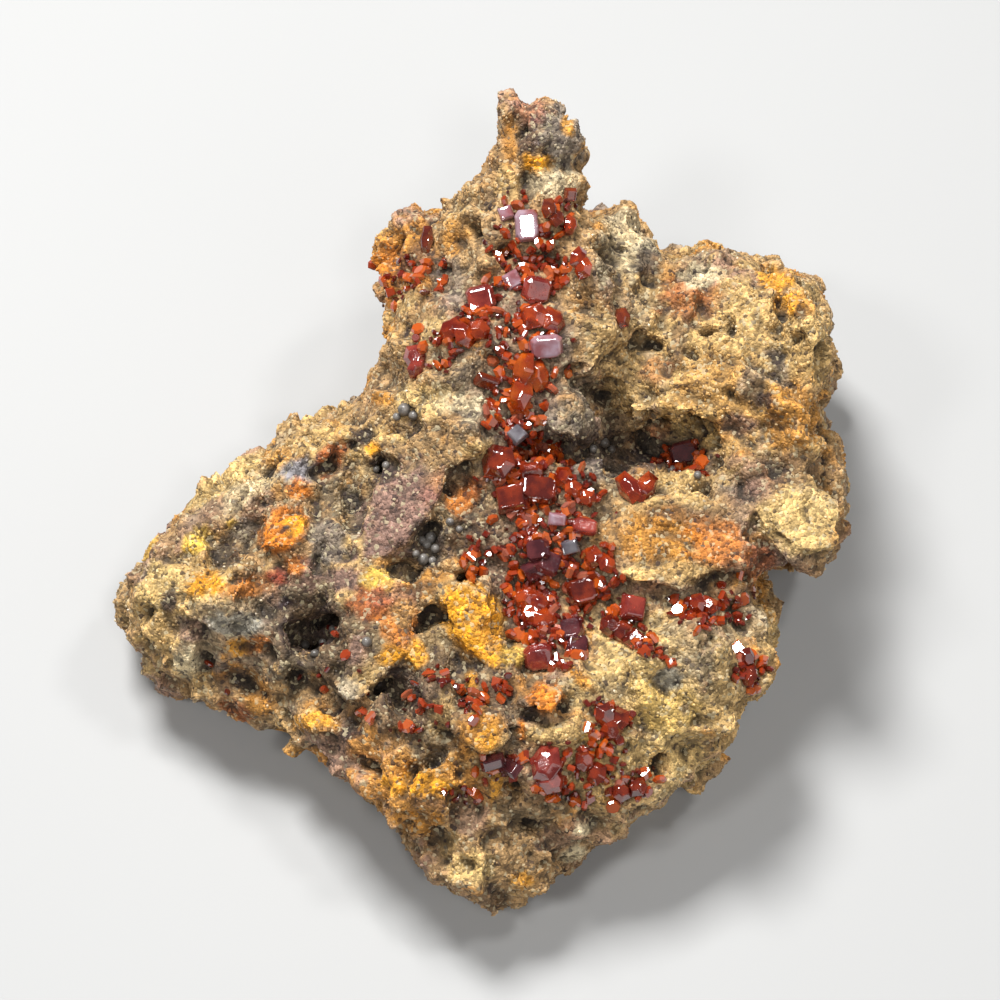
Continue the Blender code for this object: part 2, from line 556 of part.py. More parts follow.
def build_group(name, tree, tablets, grow):
    """One body made of all tablets of a group, each larger by `grow` on every side."""
    first = None
    for number, (place, row) in enumerate(zip(group_places(tree, tablets), tablets)):
        _, _, proud, width, length, thickness, lean_right, lean_up, turn, habit = row
        size = (width + 2 * grow, length + 2 * grow, thickness + 2 * grow)
        frame = tablet_frame(lean_right, lean_up, turn)
        builder = tablet_builder(place - SIGHT * proud, frame, size, habit)
        item = add_object(name if number == 0 else f"{name} tablet {number}", make_mesh(name, builder))
        if number == 0:
            first = item
        else:
            make_guide(item)
            add_boolean(first, item, "UNION")
    settle(first)
    return first


def make_finish(name):
    colour, roughness, metallic = FINISHES[name]
    finish = bpy.data.materials.new(name)
    finish.use_nodes = True
    shader = finish.node_tree.nodes["Principled BSDF"]
    shader.inputs["Base Color"].default_value = (*colour, 1.0)
    shader.inputs["Roughness"].default_value = roughness
    shader.inputs["Metallic"].default_value = metallic
    finish.diffuse_color = (*colour, 1.0)
    return finish


def dress(item, finish):
    item.data.materials.clear()
    item.data.materials.append(finish)


def build_crystals(rock, finishes):
    """Each group stands in a seat in the rock that is larger than it by the seat gap."""
    tree = surface_tree(rock)
    for name, (finish, tablets) in CRYSTALS.items():
        dress(build_group(name, tree, tablets, 0.0), finishes[finish])
        seat = make_guide(build_group(f"{name} seat", tree, tablets, SEAT_GAP))
        add_boolean(rock, seat, "DIFFERENCE")
    settle(rock)
    keep_largest(rock)


def centre_on_base():
    """Move everything so that the box's bottom centre is the origin."""
    bpy.context.view_layer.update()
    solids = [item for item in bpy.data.objects if item.type == "MESH" and not item.hide_render]
    corners = [item.matrix_world @ vertex.co for item in solids for vertex in item.data.vertices]
    low = Vector(min(corner[axis] for corner in corners) for axis in range(3))
    high = Vector(max(corner[axis] for corner in corners) for axis in range(3))
    shift = Vector(((low.x + high.x) / -2.0, (low.y + high.y) / -2.0, -low.z))
    for item in bpy.data.objects:
        item.location += shift
    return shift


def clear_scene():
    for item in list(bpy.data.objects):
        bpy.data.objects.remove(item, do_unlink=True)


def main():
    clear_scene()
    finishes = {name: make_finish(name) for name in FINISHES}
    rock = build_matrix()
    build_crystals(rock, finishes)
    dress(rock, finishes["tan_rock"])
    return centre_on_base()


SHIFT_USED = main()
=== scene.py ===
"""Looks of the wulfenite specimen: crumbly stained rock, sandy grain and orange-red tablets.

Places on the display side are given as they appear from the sight point: `across` to the
right and `up` towards the horn, in millimetres on the display plane, which passes through
the middle of the specimen square to the sight line.
"""

import math
import random

import bmesh
import bpy
import numpy as np
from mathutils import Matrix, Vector, noise
from mathutils.bvhtree import BVHTree


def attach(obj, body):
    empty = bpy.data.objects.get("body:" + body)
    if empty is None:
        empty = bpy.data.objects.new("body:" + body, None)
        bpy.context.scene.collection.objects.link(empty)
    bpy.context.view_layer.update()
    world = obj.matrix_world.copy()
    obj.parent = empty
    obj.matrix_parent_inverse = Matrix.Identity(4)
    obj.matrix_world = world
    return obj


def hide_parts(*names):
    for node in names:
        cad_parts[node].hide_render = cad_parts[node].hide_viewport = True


bl_info = {
    "name": "Wulfenite specimen",
    "version": (1, 0, 0),
    "blender": (4, 5, 0),
    "location": "3D View > Sidebar > Specimen",
    "description": "Builds the rock, grain and crystals of a wulfenite hand specimen",
    "category": "Add Mesh",
}

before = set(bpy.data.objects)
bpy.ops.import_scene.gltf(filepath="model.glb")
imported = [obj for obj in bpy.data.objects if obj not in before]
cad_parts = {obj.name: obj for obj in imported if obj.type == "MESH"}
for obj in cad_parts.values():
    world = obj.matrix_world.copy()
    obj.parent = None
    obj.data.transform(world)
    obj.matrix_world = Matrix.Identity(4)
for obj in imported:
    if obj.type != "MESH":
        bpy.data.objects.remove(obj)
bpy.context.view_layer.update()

MM = 0.001

DISPLAY_TILT = math.radians(58.0)
SIGHT_DISTANCE = 0.380
MIDDLE = Vector((0.002083, 0.002809, 0.016))
SIGHT = Vector((0.0, math.cos(DISPLAY_TILT), -math.sin(DISPLAY_TILT)))
RIGHT = Vector((1.0, 0.0, 0.0))
UPWARD = Vector((0.0, math.sin(DISPLAY_TILT), math.cos(DISPLAY_TILT)))
SIGHT_POINT = MIDDLE - SIGHT * SIGHT_DISTANCE
DISPLAY_WIDTH = 0.120
SENSOR = 36.0

# Colours of the rock, as linear red, green and blue.
TAN = (0.30, 0.180, 0.075)
SAND = (0.42, 0.270, 0.100)
PALE = (0.50, 0.340, 0.130)
LEMON = (0.58, 0.365, 0.060)
CREAM = (0.56, 0.470, 0.290)
OLIVE = (0.135, 0.100, 0.055)
GREY = (0.165, 0.135, 0.105)
PALE_GREY = (0.40, 0.390, 0.330)
BLUE_GREY = (0.150, 0.150, 0.165)
MAUVE = (0.200, 0.115, 0.085)
RUST = (0.26, 0.066, 0.014)
OCHRE = (0.40, 0.175, 0.026)
GOLD = (0.62, 0.270, 0.012)
ORANGE = (0.46, 0.140, 0.010)
BROWN = (0.085, 0.042, 0.022)
DARK = (0.026, 0.014, 0.014)
RED = (0.21, 0.030, 0.012)
PINK = (0.28, 0.090, 0.060)

# Plates that stand on the display side: how far the face stands out, thickness, and the
# corners of the face as (across, up), all in millimetres.
PLATES = [
    ("mauve slab", 0.9, 2.4, [
        (-12.7, 3.8), (-8.3, 4.0), (-5.8, 3.8), (-6.6, 1.0), (-7.7, -0.7), (-9.7, -2.9),
        (-11.9, -5.4), (-13.2, -6.8), (-15.8, -7.1), (-17.6, -5.8), (-17.0, -2.4), (-15.4, 1.4)]),
    ("slab foot", 1.3, 2.6, [
        (-20.3, -7.4), (-16.6, -7.2), (-12.6, -8.6), (-13.4, -11.0), (-17.4, -13.3), (-20.4, -12.7)]),
    ("tan ledge", 1.0, 2.2, [
        (-14.3, 6.0), (-12.0, 7.2), (-6.0, 7.6), (-0.8, 6.8), (-3.6, 4.4), (-5.8, 3.8),
        (-11.0, 4.0), (-12.7, 4.6)]),
    ("pale shoulder", 1.0, 2.0, [
        (-10.0, 12.0), (-6.0, 12.6), (-1.6, 12.4), (-2.0, 9.6), (-5.9, 9.2), (-9.6, 9.4)]),
    ("golden plate", 1.2, 1.9, [
        (-4.2, -9.5), (-2.6, -10.1), (-1.0, -11.8), (-0.4, -14.9), (1.1, -16.1), (3.5, -19.0),
        (1.9, -19.9), (0.6, -21.2), (-1.3, -20.5), (-3.6, -18.2), (-5.9, -16.4), (-6.0, -13.7),
        (-6.6, -11.5), (-5.4, -10.4)]),
    ("rust plate", 1.1, 2.2, [
        (-12.7, -9.5), (-7.1, -9.0), (-6.6, -10.3), (-9.1, -13.7), (-10.6, -15.7), (-11.9, -19.4),
        (-13.6, -21.0), (-16.7, -24.8), (-20.4, -23.2), (-18.6, -17.9), (-18.0, -13.3)]),
    ("golden crumb", 0.9, 1.6, [
        (-11.2, -16.8), (-9.4, -16.6), (-8.7, -18.2), (-9.4, -20.5), (-10.9, -19.6)]),
    ("yellow nodule", 0.9, 1.6, [
        (-4.4, -20.4), (-3.2, -20.2), (-2.5, -22.0), (-3.0, -24.0), (-4.3, -23.0)]),
    ("ochre nodule", 1.5, 2.4, [
        (-5.0, -25.6), (-1.6, -25.0), (0.4, -26.2), (0.7, -29.0), (-1.8, -30.5), (-4.6, -29.4),
        (-5.8, -27.4)]),
    ("five sided plate", 1.4, 1.5, [
        (5.4, -21.5), (7.9, -22.6), (7.7, -24.2), (6.2, -26.0), (4.6, -25.6), (2.9, -24.7),
        (3.5, -22.7)]),
    ("ochre ridge", 0.9, 1.4, [
        (6.4, -19.2), (7.4, -18.8), (11.9, -22.2), (11.2, -23.2)]),
    ("sandy bed", 0.8, 1.8, [
        (2.6, -26.6), (5.8, -27.6), (8.8, -26.0), (11.4, -26.6), (10.8, -28.6), (7.2, -29.6),
        (3.6, -29.0)]),
    ("orange boss", 1.0, 1.8, [
        (-27.7, -1.4), (-23.0, -1.8), (-22.7, -4.2), (-25.4, -5.8), (-29.2, -5.9), (-28.6, -3.8)]),
    ("corner slab", 0.9, 2.6, [
        (30.8, 0.0), (33.0, 1.0), (36.0, 1.6), (41.0, 0.6), (41.2, -1.8), (40.1, -6.2),
        (35.4, -6.2), (31.8, -1.8)]),
    ("ledge", 1.0, 2.8, [
        (14.4, -0.6), (18.0, 0.4), (22.0, 0.5), (29.4, -1.5), (29.6, -7.0), (24.0, -9.8),
        (15.8, -10.2), (13.6, -6.5)]),
    ("ochre fragment", 1.0, 2.0, [
        (-24.8, -25.6), (-21.0, -24.9), (-18.6, -26.6), (-19.0, -28.3), (-22.6, -28.4)]),
    ("grey block", 1.0, 2.2, [
        (-25.4, -8.4), (-22.8, -7.8), (-20.6, -9.6), (-20.4, -13.4), (-22.6, -14.9), (-25.8, -13.6)]),
]

# Stains and fresh faces, and painted shadow in hollows and pits: across, up, half width, half height, turn
# in degrees, colour, strength.
STAINS_AND_SHADOWS = [
    (4.0, 36.0, 9.0, 14.0, 0.0, TAN, 0.9),
    (-12.0, 28.0, 5.5, 6.0, 0.0, OCHRE, 0.9),
    (-8.5, 15.0, 7.0, 10.0, 0.0, TAN, 0.9),
    (2.0, 14.0, 7.0, 14.0, 0.0, GREY, 0.6),
    (16.0, 14.0, 6.0, 12.0, 0.0, GREY, 0.5),
    (15.0, 16.0, 4.0, 8.0, 20.0, SAND, 0.8),
    (28.0, 16.0, 12.0, 12.0, 0.0, SAND, 1.0),
    (27.0, 12.0, 7.0, 6.0, 0.0, OCHRE, 0.45),
    (35.0, 20.0, 4.5, 6.0, 0.0, SAND, 0.8),
    (3.0, 0.0, 12.0, 10.0, 0.0, OLIVE, 0.6),
    (-28.0, -4.0, 16.0, 5.0, 38.0, TAN, 0.8),
    (-36.0, -13.0, 9.0, 7.0, 30.0, SAND, 0.9),
    (-30.0, -16.0, 9.0, 5.0, 10.0, GREY, 0.6),
    (-20.0, -15.0, 9.0, 8.0, 20.0, OLIVE, 0.8),
    (-22.0, -17.0, 7.0, 6.0, 20.0, BROWN, 0.5),
    (-5.0, -20.0, 12.0, 12.0, 0.0, OLIVE, 0.7),
    (-6.0, -24.0, 9.0, 7.0, 0.0, BROWN, 0.5),
    (4.0, -7.0, 7.0, 13.0, 0.0, BROWN, 0.6),
    (3.0, 18.0, 6.0, 14.0, 0.0, BROWN, 0.35),
    (-13.0, 0.0, 8.0, 8.0, 0.0, OLIVE, 0.6),
    (18.0, -22.0, 10.0, 10.0, 0.0, PALE, 0.85),
    (26.0, -16.0, 6.0, 9.0, 0.0, GREY, 0.5),
    (29.0, -24.0, 5.0, 8.0, 0.0, SAND, 0.8),
    (14.0, -32.0, 9.0, 7.0, 0.0, PALE, 0.6),
    (0.0, -41.0, 11.0, 9.0, 0.0, TAN, 0.9),
    (-10.0, -34.0, 8.0, 5.0, 0.0, OCHRE, 0.85),
    (7.5, 43.5, 3.2, 4.0, 0.0, GREY, 0.9),
    (3.6, 43.0, 1.5, 2.2, 0.0, DARK, 0.8),
    (3.4, 47.6, 2.0, 2.6, 0.0, PINK, 0.5),
    (4.5, 40.4, 1.7, 1.2, 0.0, GOLD, 1.0),
    (1.2, 42.0, 0.9, 4.0, 0.0, OCHRE, 0.8),
    (6.0, 38.0, 4.0, 1.6, 0.0, CREAM, 0.6),
    (1.0, 38.0, 1.8, 2.4, 0.0, SAND, 0.7),
    (8.2, 45.0, 0.8, 1.2, 0.0, GOLD, 0.7),
    (15.2, 31.0, 3.5, 4.0, 0.0, CREAM, 0.5),
    (13.0, 29.0, 1.6, 2.6, 0.0, OLIVE, 0.9),
    (-13.5, 27.0, 2.4, 3.4, 0.0, ORANGE, 0.7),
    (-9.5, 28.5, 2.4, 2.2, 0.0, BROWN, 0.8),
    (-12.0, 24.0, 2.0, 1.6, 0.0, SAND, 0.8),
    (-5.5, 26.0, 3.0, 3.4, 0.0, GREY, 0.7),
    (-3.0, 29.0, 2.0, 4.0, 0.0, TAN, 0.8),
    (-8.0, 20.0, 2.6, 2.0, 20.0, PALE, 0.6),
    (-9.0, 12.0, 3.6, 2.4, 0.0, PALE, 0.8),
    (-4.0, 11.2, 4.2, 1.6, 0.0, CREAM, 0.6),
    (-5.5, 16.0, 4.0, 3.0, 0.0, OLIVE, 0.5),
    (8.0, 8.0, 4.0, 3.0, 0.0, GREY, 0.7),
    (9.0, 12.0, 3.0, 4.0, 0.0, OLIVE, 0.5),
    (22.8, 24.4, 4.0, 3.2, 0.0, RUST, 0.7),
    (24.0, 26.8, 2.6, 1.6, 0.0, CREAM, 0.8),
    (21.4, 19.0, 1.0, 4.0, -14.0, BROWN, 0.7),
    (33.0, 26.4, 2.4, 1.4, -10.0, GOLD, 0.8),
    (34.8, 23.8, 1.8, 1.6, 0.0, GOLD, 0.9),
    (37.0, 24.0, 1.8, 1.8, 0.0, OCHRE, 0.7),
    (36.0, 22.4, 0.7, 0.8, 0.0, DARK, 0.7),
    (35.4, 10.0, 3.6, 5.0, 0.0, OCHRE, 0.8),
    (30.0, 14.0, 1.6, 2.2, 0.0, GREY, 0.6),
    (33.6, 15.8, 1.4, 2.2, 20.0, GREY, 0.7),
    (23.0, 8.0, 4.0, 3.0, 0.0, PALE, 0.7),
    (19.0, 8.4, 1.8, 1.2, 0.0, RUST, 0.6),
    (18.6, 15.6, 1.8, 2.0, 0.0, RUST, 0.5),
    (28.4, 9.0, 2.6, 1.6, 0.0, MAUVE, 0.8),
    (36.0, 4.0, 3.4, 2.4, 0.0, BROWN, 0.6),
    (35.8, -2.4, 5.4, 3.8, 0.0, PALE, 0.85),
    (31.0, 2.4, 2.4, 2.6, 0.0, MAUVE, 0.6),
    (31.2, -8.0, 2.0, 3.6, 0.0, RUST, 0.7),
    (31.0, -12.0, 1.3, 3.6, 0.0, OCHRE, 0.8),
    (19.0, -4.6, 5.2, 4.0, -8.0, OCHRE, 0.95),
    (26.0, -5.4, 4.0, 3.0, -10.0, ORANGE, 0.75),
    (16.4, -8.8, 2.2, 1.2, 0.0, PALE, 0.8),
    (22.0, -8.6, 4.6, 1.4, -4.0, SAND, 0.8),
    (22.0, -1.6, 5.0, 1.1, -6.0, BROWN, 0.6),
    (27.8, -8.2, 1.4, 1.2, 0.0, DARK, 0.6),
    (10.0, 3.6, 3.0, 2.2, 0.0, GREY, 0.8),
    (-9.4, 5.6, 6.6, 1.5, 3.0, TAN, 0.9),
    (-2.5, 6.0, 2.2, 1.2, 0.0, SAND, 0.8),
    (-15.5, 6.2, 0.9, 0.9, 0.0, GOLD, 1.0),
    (-17.0, 7.5, 1.6, 1.4, 0.0, DARK, 0.9),
    (-14.3, 12.1, 1.3, 0.9, 0.0, OCHRE, 1.0),
    (-20.3, 5.0, 1.5, 2.6, -30.0, RUST, 0.9),
    (-24.5, 3.5, 2.4, 2.0, 20.0, BLUE_GREY, 0.9),
    (-24.4, 1.3, 1.6, 1.3, 0.0, ORANGE, 0.9),
    (-27.0, 4.6, 3.0, 1.3, 30.0, OCHRE, 0.6),
    (-33.0, 2.6, 6.0, 1.4, 36.0, PALE, 0.9),
    (-30.0, 1.0, 4.0, 1.6, 36.0, CREAM, 0.5),
    (-29.0, -0.8, 3.0, 1.4, 40.0, MAUVE, 0.6),
    (-26.0, -3.6, 3.4, 2.3, 24.0, ORANGE, 1.0),
    (-24.6, -3.0, 1.4, 1.2, 0.0, GOLD, 0.8),
    (-25.6, -3.4, 0.35, 0.35, 0.0, DARK, 1.0),
    (-20.6, -4.9, 2.8, 2.9, 30.0, GREY, 0.9),
    (-17.2, -0.4, 1.4, 1.4, 0.0, DARK, 0.9),
    (-19.0, 0.6, 2.2, 2.6, 0.0, OLIVE, 0.7),
    (-12.2, -1.6, 4.2, 6.6, -38.0, MAUVE, 1.0),
    (-8.2, 1.4, 1.4, 3.0, -30.0, PINK, 0.35),
    (-7.7, -1.2, 0.5, 3.2, -36.0, TAN, 0.8),
    (-4.7, 0.4, 2.0, 2.1, 0.0, ORANGE, 0.85),
    (-3.2, 1.6, 1.6, 1.4, 0.0, RUST, 0.7),
    (-3.5, -5.0, 3.0, 3.0, 0.0, BROWN, 0.6),
    (-8.6, -4.6, 2.4, 2.2, 0.0, OLIVE, 0.8),
    (-18.2, -9.6, 2.6, 2.2, 0.0, MAUVE, 0.9),
    (-14.6, -9.8, 2.2, 1.9, -18.0, LEMON, 0.9),
    (-17.6, -12.0, 2.2, 1.2, -14.0, SAND, 0.8),
    (-36.4, -5.0, 2.2, 1.2, 30.0, LEMON, 1.0),
    (-35.5, -10.0, 2.4, 1.6, 10.0, GOLD, 0.95),
    (-32.2, -2.9, 0.6, 0.6, 0.0, LEMON, 0.9),
    (-32.6, -6.7, 1.9, 1.9, 0.0, DARK, 0.85),
    (-31.0, -3.6, 2.2, 1.2, 35.0, GREY, 0.8),
    (-30.2, -8.8, 1.8, 1.2, 20.0, BROWN, 0.7),
    (-30.0, -10.4, 3.4, 1.3, 12.0, ORANGE, 0.75),
    (-26.6, -9.2, 1.7, 1.0, 0.0, RED, 0.9),
    (-24.4, -8.0, 1.2, 1.2, 0.0, ORANGE, 0.8),
    (-25.9, -12.5, 1.5, 0.9, 20.0, DARK, 1.0),
    (-23.4, -13.4, 1.6, 1.2, 0.0, SAND, 0.7),
    (-22.8, -9.6, 1.2, 2.0, 0.0, MAUVE, 0.8),
    (-40.6, -10.6, 3.0, 2.4, 30.0, PALE, 0.9),
    (-42.0, -6.0, 2.0, 1.6, 30.0, LEMON, 0.5),
    (-32.0, -15.0, 3.6, 1.6, 6.0, PALE_GREY, 0.6),
    (-37.0, -15.6, 2.2, 1.4, 0.0, MAUVE, 0.7),
    (-31.6, -17.6, 1.6, 1.2, 10.0, GOLD, 0.8),
    (-29.0, -17.2, 1.8, 1.0, 24.0, ORANGE, 0.7),
    (-34.4, -19.6, 2.6, 1.4, 0.0, GREY, 0.6),
    (-32.4, -21.2, 2.6, 2.0, 0.0, DARK, 0.6),
    (-37.6, -19.8, 1.6, 1.6, 0.0, CREAM, 0.6),
    (-29.0, -24.4, 1.8, 1.8, 0.0, OCHRE, 0.8),
    (-32.0, -25.2, 2.4, 1.2, -30.0, RUST, 0.8),
    (-21.8, -26.6, 2.8, 1.4, -8.0, GOLD, 0.75),
    (-20.6, -27.6, 2.4, 0.7, -8.0, BROWN, 0.7),
    (-24.6, -20.6, 2.0, 2.2, 0.0, OLIVE, 0.9),
    (-15.4, -12.6, 2.6, 2.4, 0.0, RUST, 0.9),
    (-12.6, -11.4, 3.2, 2.0, 0.0, PINK, 0.4),
    (-9.4, -10.6, 2.2, 1.6, 0.0, BROWN, 0.6),
    (-12.0, -15.0, 2.8, 3.2, -20.0, ORANGE, 0.75),
    (-11.6, -13.4, 1.6, 1.6, 0.0, SAND, 0.6),
    (-13.4, -18.8, 1.8, 1.1, 20.0, GOLD, 1.0),
    (-16.4, -21.4, 2.8, 1.6, 30.0, SAND, 0.7),
    (-17.0, -18.0, 1.6, 2.0, 0.0, MAUVE, 0.8),
    (-18.4, -22.8, 1.4, 1.4, 0.0, PALE_GREY, 0.4),
    (-9.9, -18.4, 1.3, 2.0, 0.0, GOLD, 0.8),
    (-3.2, -14.6, 3.6, 5.4, 36.0, GOLD, 1.0),
    (-2.6, -15.0, 1.2, 3.6, 36.0, OCHRE, 0.55),
    (1.8, -18.4, 1.6, 1.8, 36.0, LEMON, 0.7),
    (-3.6, -22.0, 0.9, 1.7, 0.0, GOLD, 0.8),
    (-2.4, -27.8, 3.0, 2.6, 0.0, OCHRE, 0.95),
    (-1.2, -28.6, 1.2, 1.6, 0.0, GOLD, 0.6),
    (-7.0, -26.0, 1.6, 3.2, -16.0, SAND, 0.6),
    (-8.6, -30.0, 2.4, 2.0, 0.0, OLIVE, 0.8),
    (5.4, -23.8, 2.3, 2.1, 0.0, ORANGE, 0.95),
    (9.2, -21.0, 3.0, 0.8, -38.0, OCHRE, 1.0),
    (6.6, -28.0, 4.0, 1.2, 0.0, SAND, 0.9),
    (2.6, -27.4, 0.5, 1.4, 0.0, ORANGE, 0.9),
    (0.6, -31.8, 1.2, 1.4, 0.0, GOLD, 0.6),
    (13.0, -23.0, 2.4, 2.0, 0.0, OLIVE, 0.5),
    (16.0, -20.0, 3.0, 2.6, 0.0, PALE, 0.8),
    (19.5, -24.5, 4.0, 3.6, 0.0, LEMON, 0.4),
    (20.2, -21.4, 1.8, 1.5, 0.0, PALE_GREY, 0.8),
    (24.4, -20.4, 1.6, 3.0, 0.0, OLIVE, 0.6),
    (16.6, -28.0, 1.4, 0.8, 0.0, BROWN, 0.7),
    (21.6, -31.0, 3.4, 2.6, 0.0, PALE, 0.7),
    (10.8, -30.0, 1.4, 2.6, 10.0, LEMON, 0.5),
    (7.2, -36.4, 2.4, 1.2, 0.0, OLIVE, 0.6),
    (-9.8, -34.2, 4.2, 1.8, -8.0, GOLD, 0.9),
    (-8.6, -36.2, 3.2, 1.1, -14.0, BROWN, 0.7),
    (-9.0, -38.8, 2.0, 1.8, 0.0, OCHRE, 0.9),
    (-0.4, -33.6, 1.0, 2.2, -10.0, GOLD, 0.7),
    (-3.6, -38.2, 2.6, 2.2, 0.0, MAUVE, 0.6),
    (3.6, -38.0, 3.0, 1.6, 0.0, OLIVE, 0.6),
    (7.6, -40.0, 3.6, 1.6, 28.0, MAUVE, 0.5),
    (-3.4, -44.2, 2.8, 2.2, 20.0, PALE, 0.95),
    (-0.6, -47.6, 2.0, 1.8, 0.0, DARK, 0.55),
    (3.0, -45.6, 1.4, 1.0, 0.0, GOLD, 0.7),
    (8.6, -42.6, 1.6, 0.9, 30.0, CREAM, 0.7),
    (10.0, -39.6, 1.6, 0.8, 30.0, CREAM, 0.8),
    (-6.2, -41.0, 1.4, 1.6, 0.0, SAND, 0.7),
    # Painted shadow: near-black patches in the main hollows, the pits and under the pale shoulder, where
    # shade falls.
    (13.5, 5.6, 7.0, 2.4, -8.0, DARK, 0.75),
    (21.0, 5.6, 5.0, 2.4, 0.0, DARK, 0.8),
    (-22.6, -15.6, 3.6, 3.8, 0.0, DARK, 0.75),
    (-8.7, -5.6, 2.4, 3.4, 0.0, DARK, 0.7),
    (-14.0, 3.9, 1.4, 1.7, 0.0, DARK, 0.9),
    (-17.6, -27.4, 1.4, 1.5, 0.0, DARK, 0.9),
    (-11.8, -22.8, 2.4, 2.8, 20.0, DARK, 0.7),
    (-39.6, -12.2, 1.0, 1.7, 0.0, DARK, 0.9),
    (33.0, 16.6, 0.9, 1.3, 30.0, DARK, 0.8),
    (31.8, 11.9, 1.4, 1.0, 0.0, DARK, 0.9),
    (33.0, 9.6, 1.0, 1.0, 0.0, DARK, 0.6),
    (23.4, 21.0, 0.8, 0.8, 0.0, DARK, 0.7),
    (17.6, 28.2, 1.5, 2.0, 0.0, DARK, 0.8),
    (22.0, -25.2, 0.6, 1.0, 0.0, DARK, 0.8),
    (-3.9, 10.4, 2.4, 0.5, 0.0, DARK, 0.8),
]

# Where small crystals crowd the rock: across, up, half width, half height, turn, crowding.
DRUSE = [
    (4.5, 33.0, 4.5, 4.0, 0.0, 0.5),
    (3.5, 27.0, 5.0, 4.5, 0.0, 0.55),
    (1.0, 21.0, 7.0, 4.0, 0.0, 0.7),
    (3.0, 15.5, 4.5, 5.0, 0.0, 0.7),
    (1.5, 9.5, 3.5, 3.0, 0.0, 0.6),
    (3.0, 3.0, 5.0, 4.5, 0.0, 0.9),
    (5.0, -3.0, 5.5, 5.5, 0.0, 0.9),
    (5.5, -9.0, 5.0, 4.5, 0.0, 1.0),
    (5.0, -13.5, 4.5, 4.0, 0.0, 1.0),
    (7.5, -17.0, 3.6, 3.4, 0.0, 1.0),
    (9.0, 1.0, 4.0, 2.4, -30.0, 0.9),
    (12.0, -7.5, 3.0, 2.0, -20.0, 0.8),
    (10.5, -11.0, 3.2, 2.6, 0.0, 0.9),
    (15.6, -13.6, 2.2, 2.2, 0.0, 0.8),
    (17.0, -17.0, 5.8, 1.5, -33.0, 1.0),
    (24.0, -13.4, 3.0, 2.2, 0.0, 1.0),
    (29.8, -20.0, 1.8, 3.0, 0.0, 0.8),
    (13.2, -26.4, 3.2, 2.6, -35.0, 1.0),
    (6.0, -32.4, 3.6, 3.2, 0.0, 0.8),
    (11.4, -32.0, 3.2, 3.4, 0.0, 0.9),
    (15.4, -34.4, 4.0, 1.8, 20.0, 0.9),
    (8.6, -35.4, 3.6, 1.2, 0.0, 0.8),
    (0.2, -31.8, 3.0, 1.8, 0.0, 0.7),
    (-3.0, -7.0, 2.6, 2.4, 0.0, 0.7),
    (-9.0, 26.5, 3.6, 3.0, 0.0, 0.3),
    (-13.0, 25.4, 3.0, 2.6, 0.0, 0.2),
    (-7.0, 18.0, 3.6, 2.6, 0.0, 0.5),
    (-7.6, -23.0, 3.4, 4.0, 0.0, 0.2),
    (-3.4, -23.4, 2.6, 3.0, 0.0, 0.35),
    (0.2, -22.6, 2.0, 1.6, 0.0, 0.7),
    (22.0, 4.4, 4.0, 2.4, 0.0, 0.4),
    (28.0, -12.0, 2.4, 2.6, 0.0, 0.5),
    (-20.0, -20.0, 4.5, 4.5, 0.0, 0.07),
    (-17.0, -24.0, 3.0, 2.5, 0.0, 0.08),
    (-33.0, -20.0, 3.0, 3.0, 0.0, 0.06),
    (-11.5, -26.5, 3.0, 3.0, 0.0, 0.12),
    (-4.4, -35.6, 2.4, 1.2, 0.0, 0.5),
]

# Balls of botryoidal mineral in the hollows: across, up and radius in millimetres.
BALLS = [
    (-8.2, -4.4, 0.75), (-9.4, -7.0, 0.7), (-7.6, -5.8, 0.55), (-8.8, -5.6, 0.6), (-9.6, -4.9, 0.5),
    (-8.0, -7.4, 0.5), (-10.2, -6.4, 0.45), (-11.4, 10.8, 0.8), (-10.2, 10.2, 0.6), (-12.3, 10.0, 0.5),
    (-13.6, 4.0, 0.5), (-16.0, -17.0, 0.6), (-22.2, -18.6, 0.55), (-23.4, -17.4, 0.5), (-21.2, -17.2, 0.45),
    (-20.0, -15.6, 0.5), (-15.0, 3.6, 0.45), (12.4, 7.0, 0.6), (11.2, 6.2, 0.5), (13.4, 6.0, 0.5),
    (25.4, -13.8, 0.5), (-6.0, -2.6, 0.5), (-5.0, -3.6, 0.45), (20.6, 3.4, 0.6), (23.6, 3.0, 0.5),
]

# Finishes of the crystals: base colour, deeper colour, see-through share and roughness. The lavender sheen
# finish is a painted reflection: its lilac base colour stands in for faces that mirror the lamps and sky.
FINISHES = {
    "orange_red": ((0.60, 0.075, 0.010), (0.24, 0.016, 0.005), 0.45, 0.07),
    "bright_orange": ((0.80, 0.150, 0.010), (0.48, 0.048, 0.006), 0.55, 0.07),
    "deep_red": ((0.34, 0.038, 0.010), (0.12, 0.011, 0.006), 0.40, 0.07),
    "pink_red": ((0.44, 0.065, 0.040), (0.22, 0.020, 0.016), 0.35, 0.09),
    "red_brown": ((0.34, 0.055, 0.014), (0.13, 0.016, 0.008), 0.40, 0.08),
    "purple_brown": ((0.17, 0.034, 0.036), (0.07, 0.012, 0.017), 0.30, 0.09),
    # Painted reflection: the lilac sheen of faces that mirror the lamps and sky.
    "lavender": ((0.50, 0.340, 0.400), (0.34, 0.110, 0.120), 0.25, 0.08),
    "grey": ((0.20, 0.185, 0.200), (0.08, 0.065, 0.080), 0.15, 0.10),
}
CRYSTAL_IOR = 2.3
ABSORPTION_COLOUR = (1.0, 0.35, 0.12, 1.0)
ABSORPTION_DENSITY = 220.0

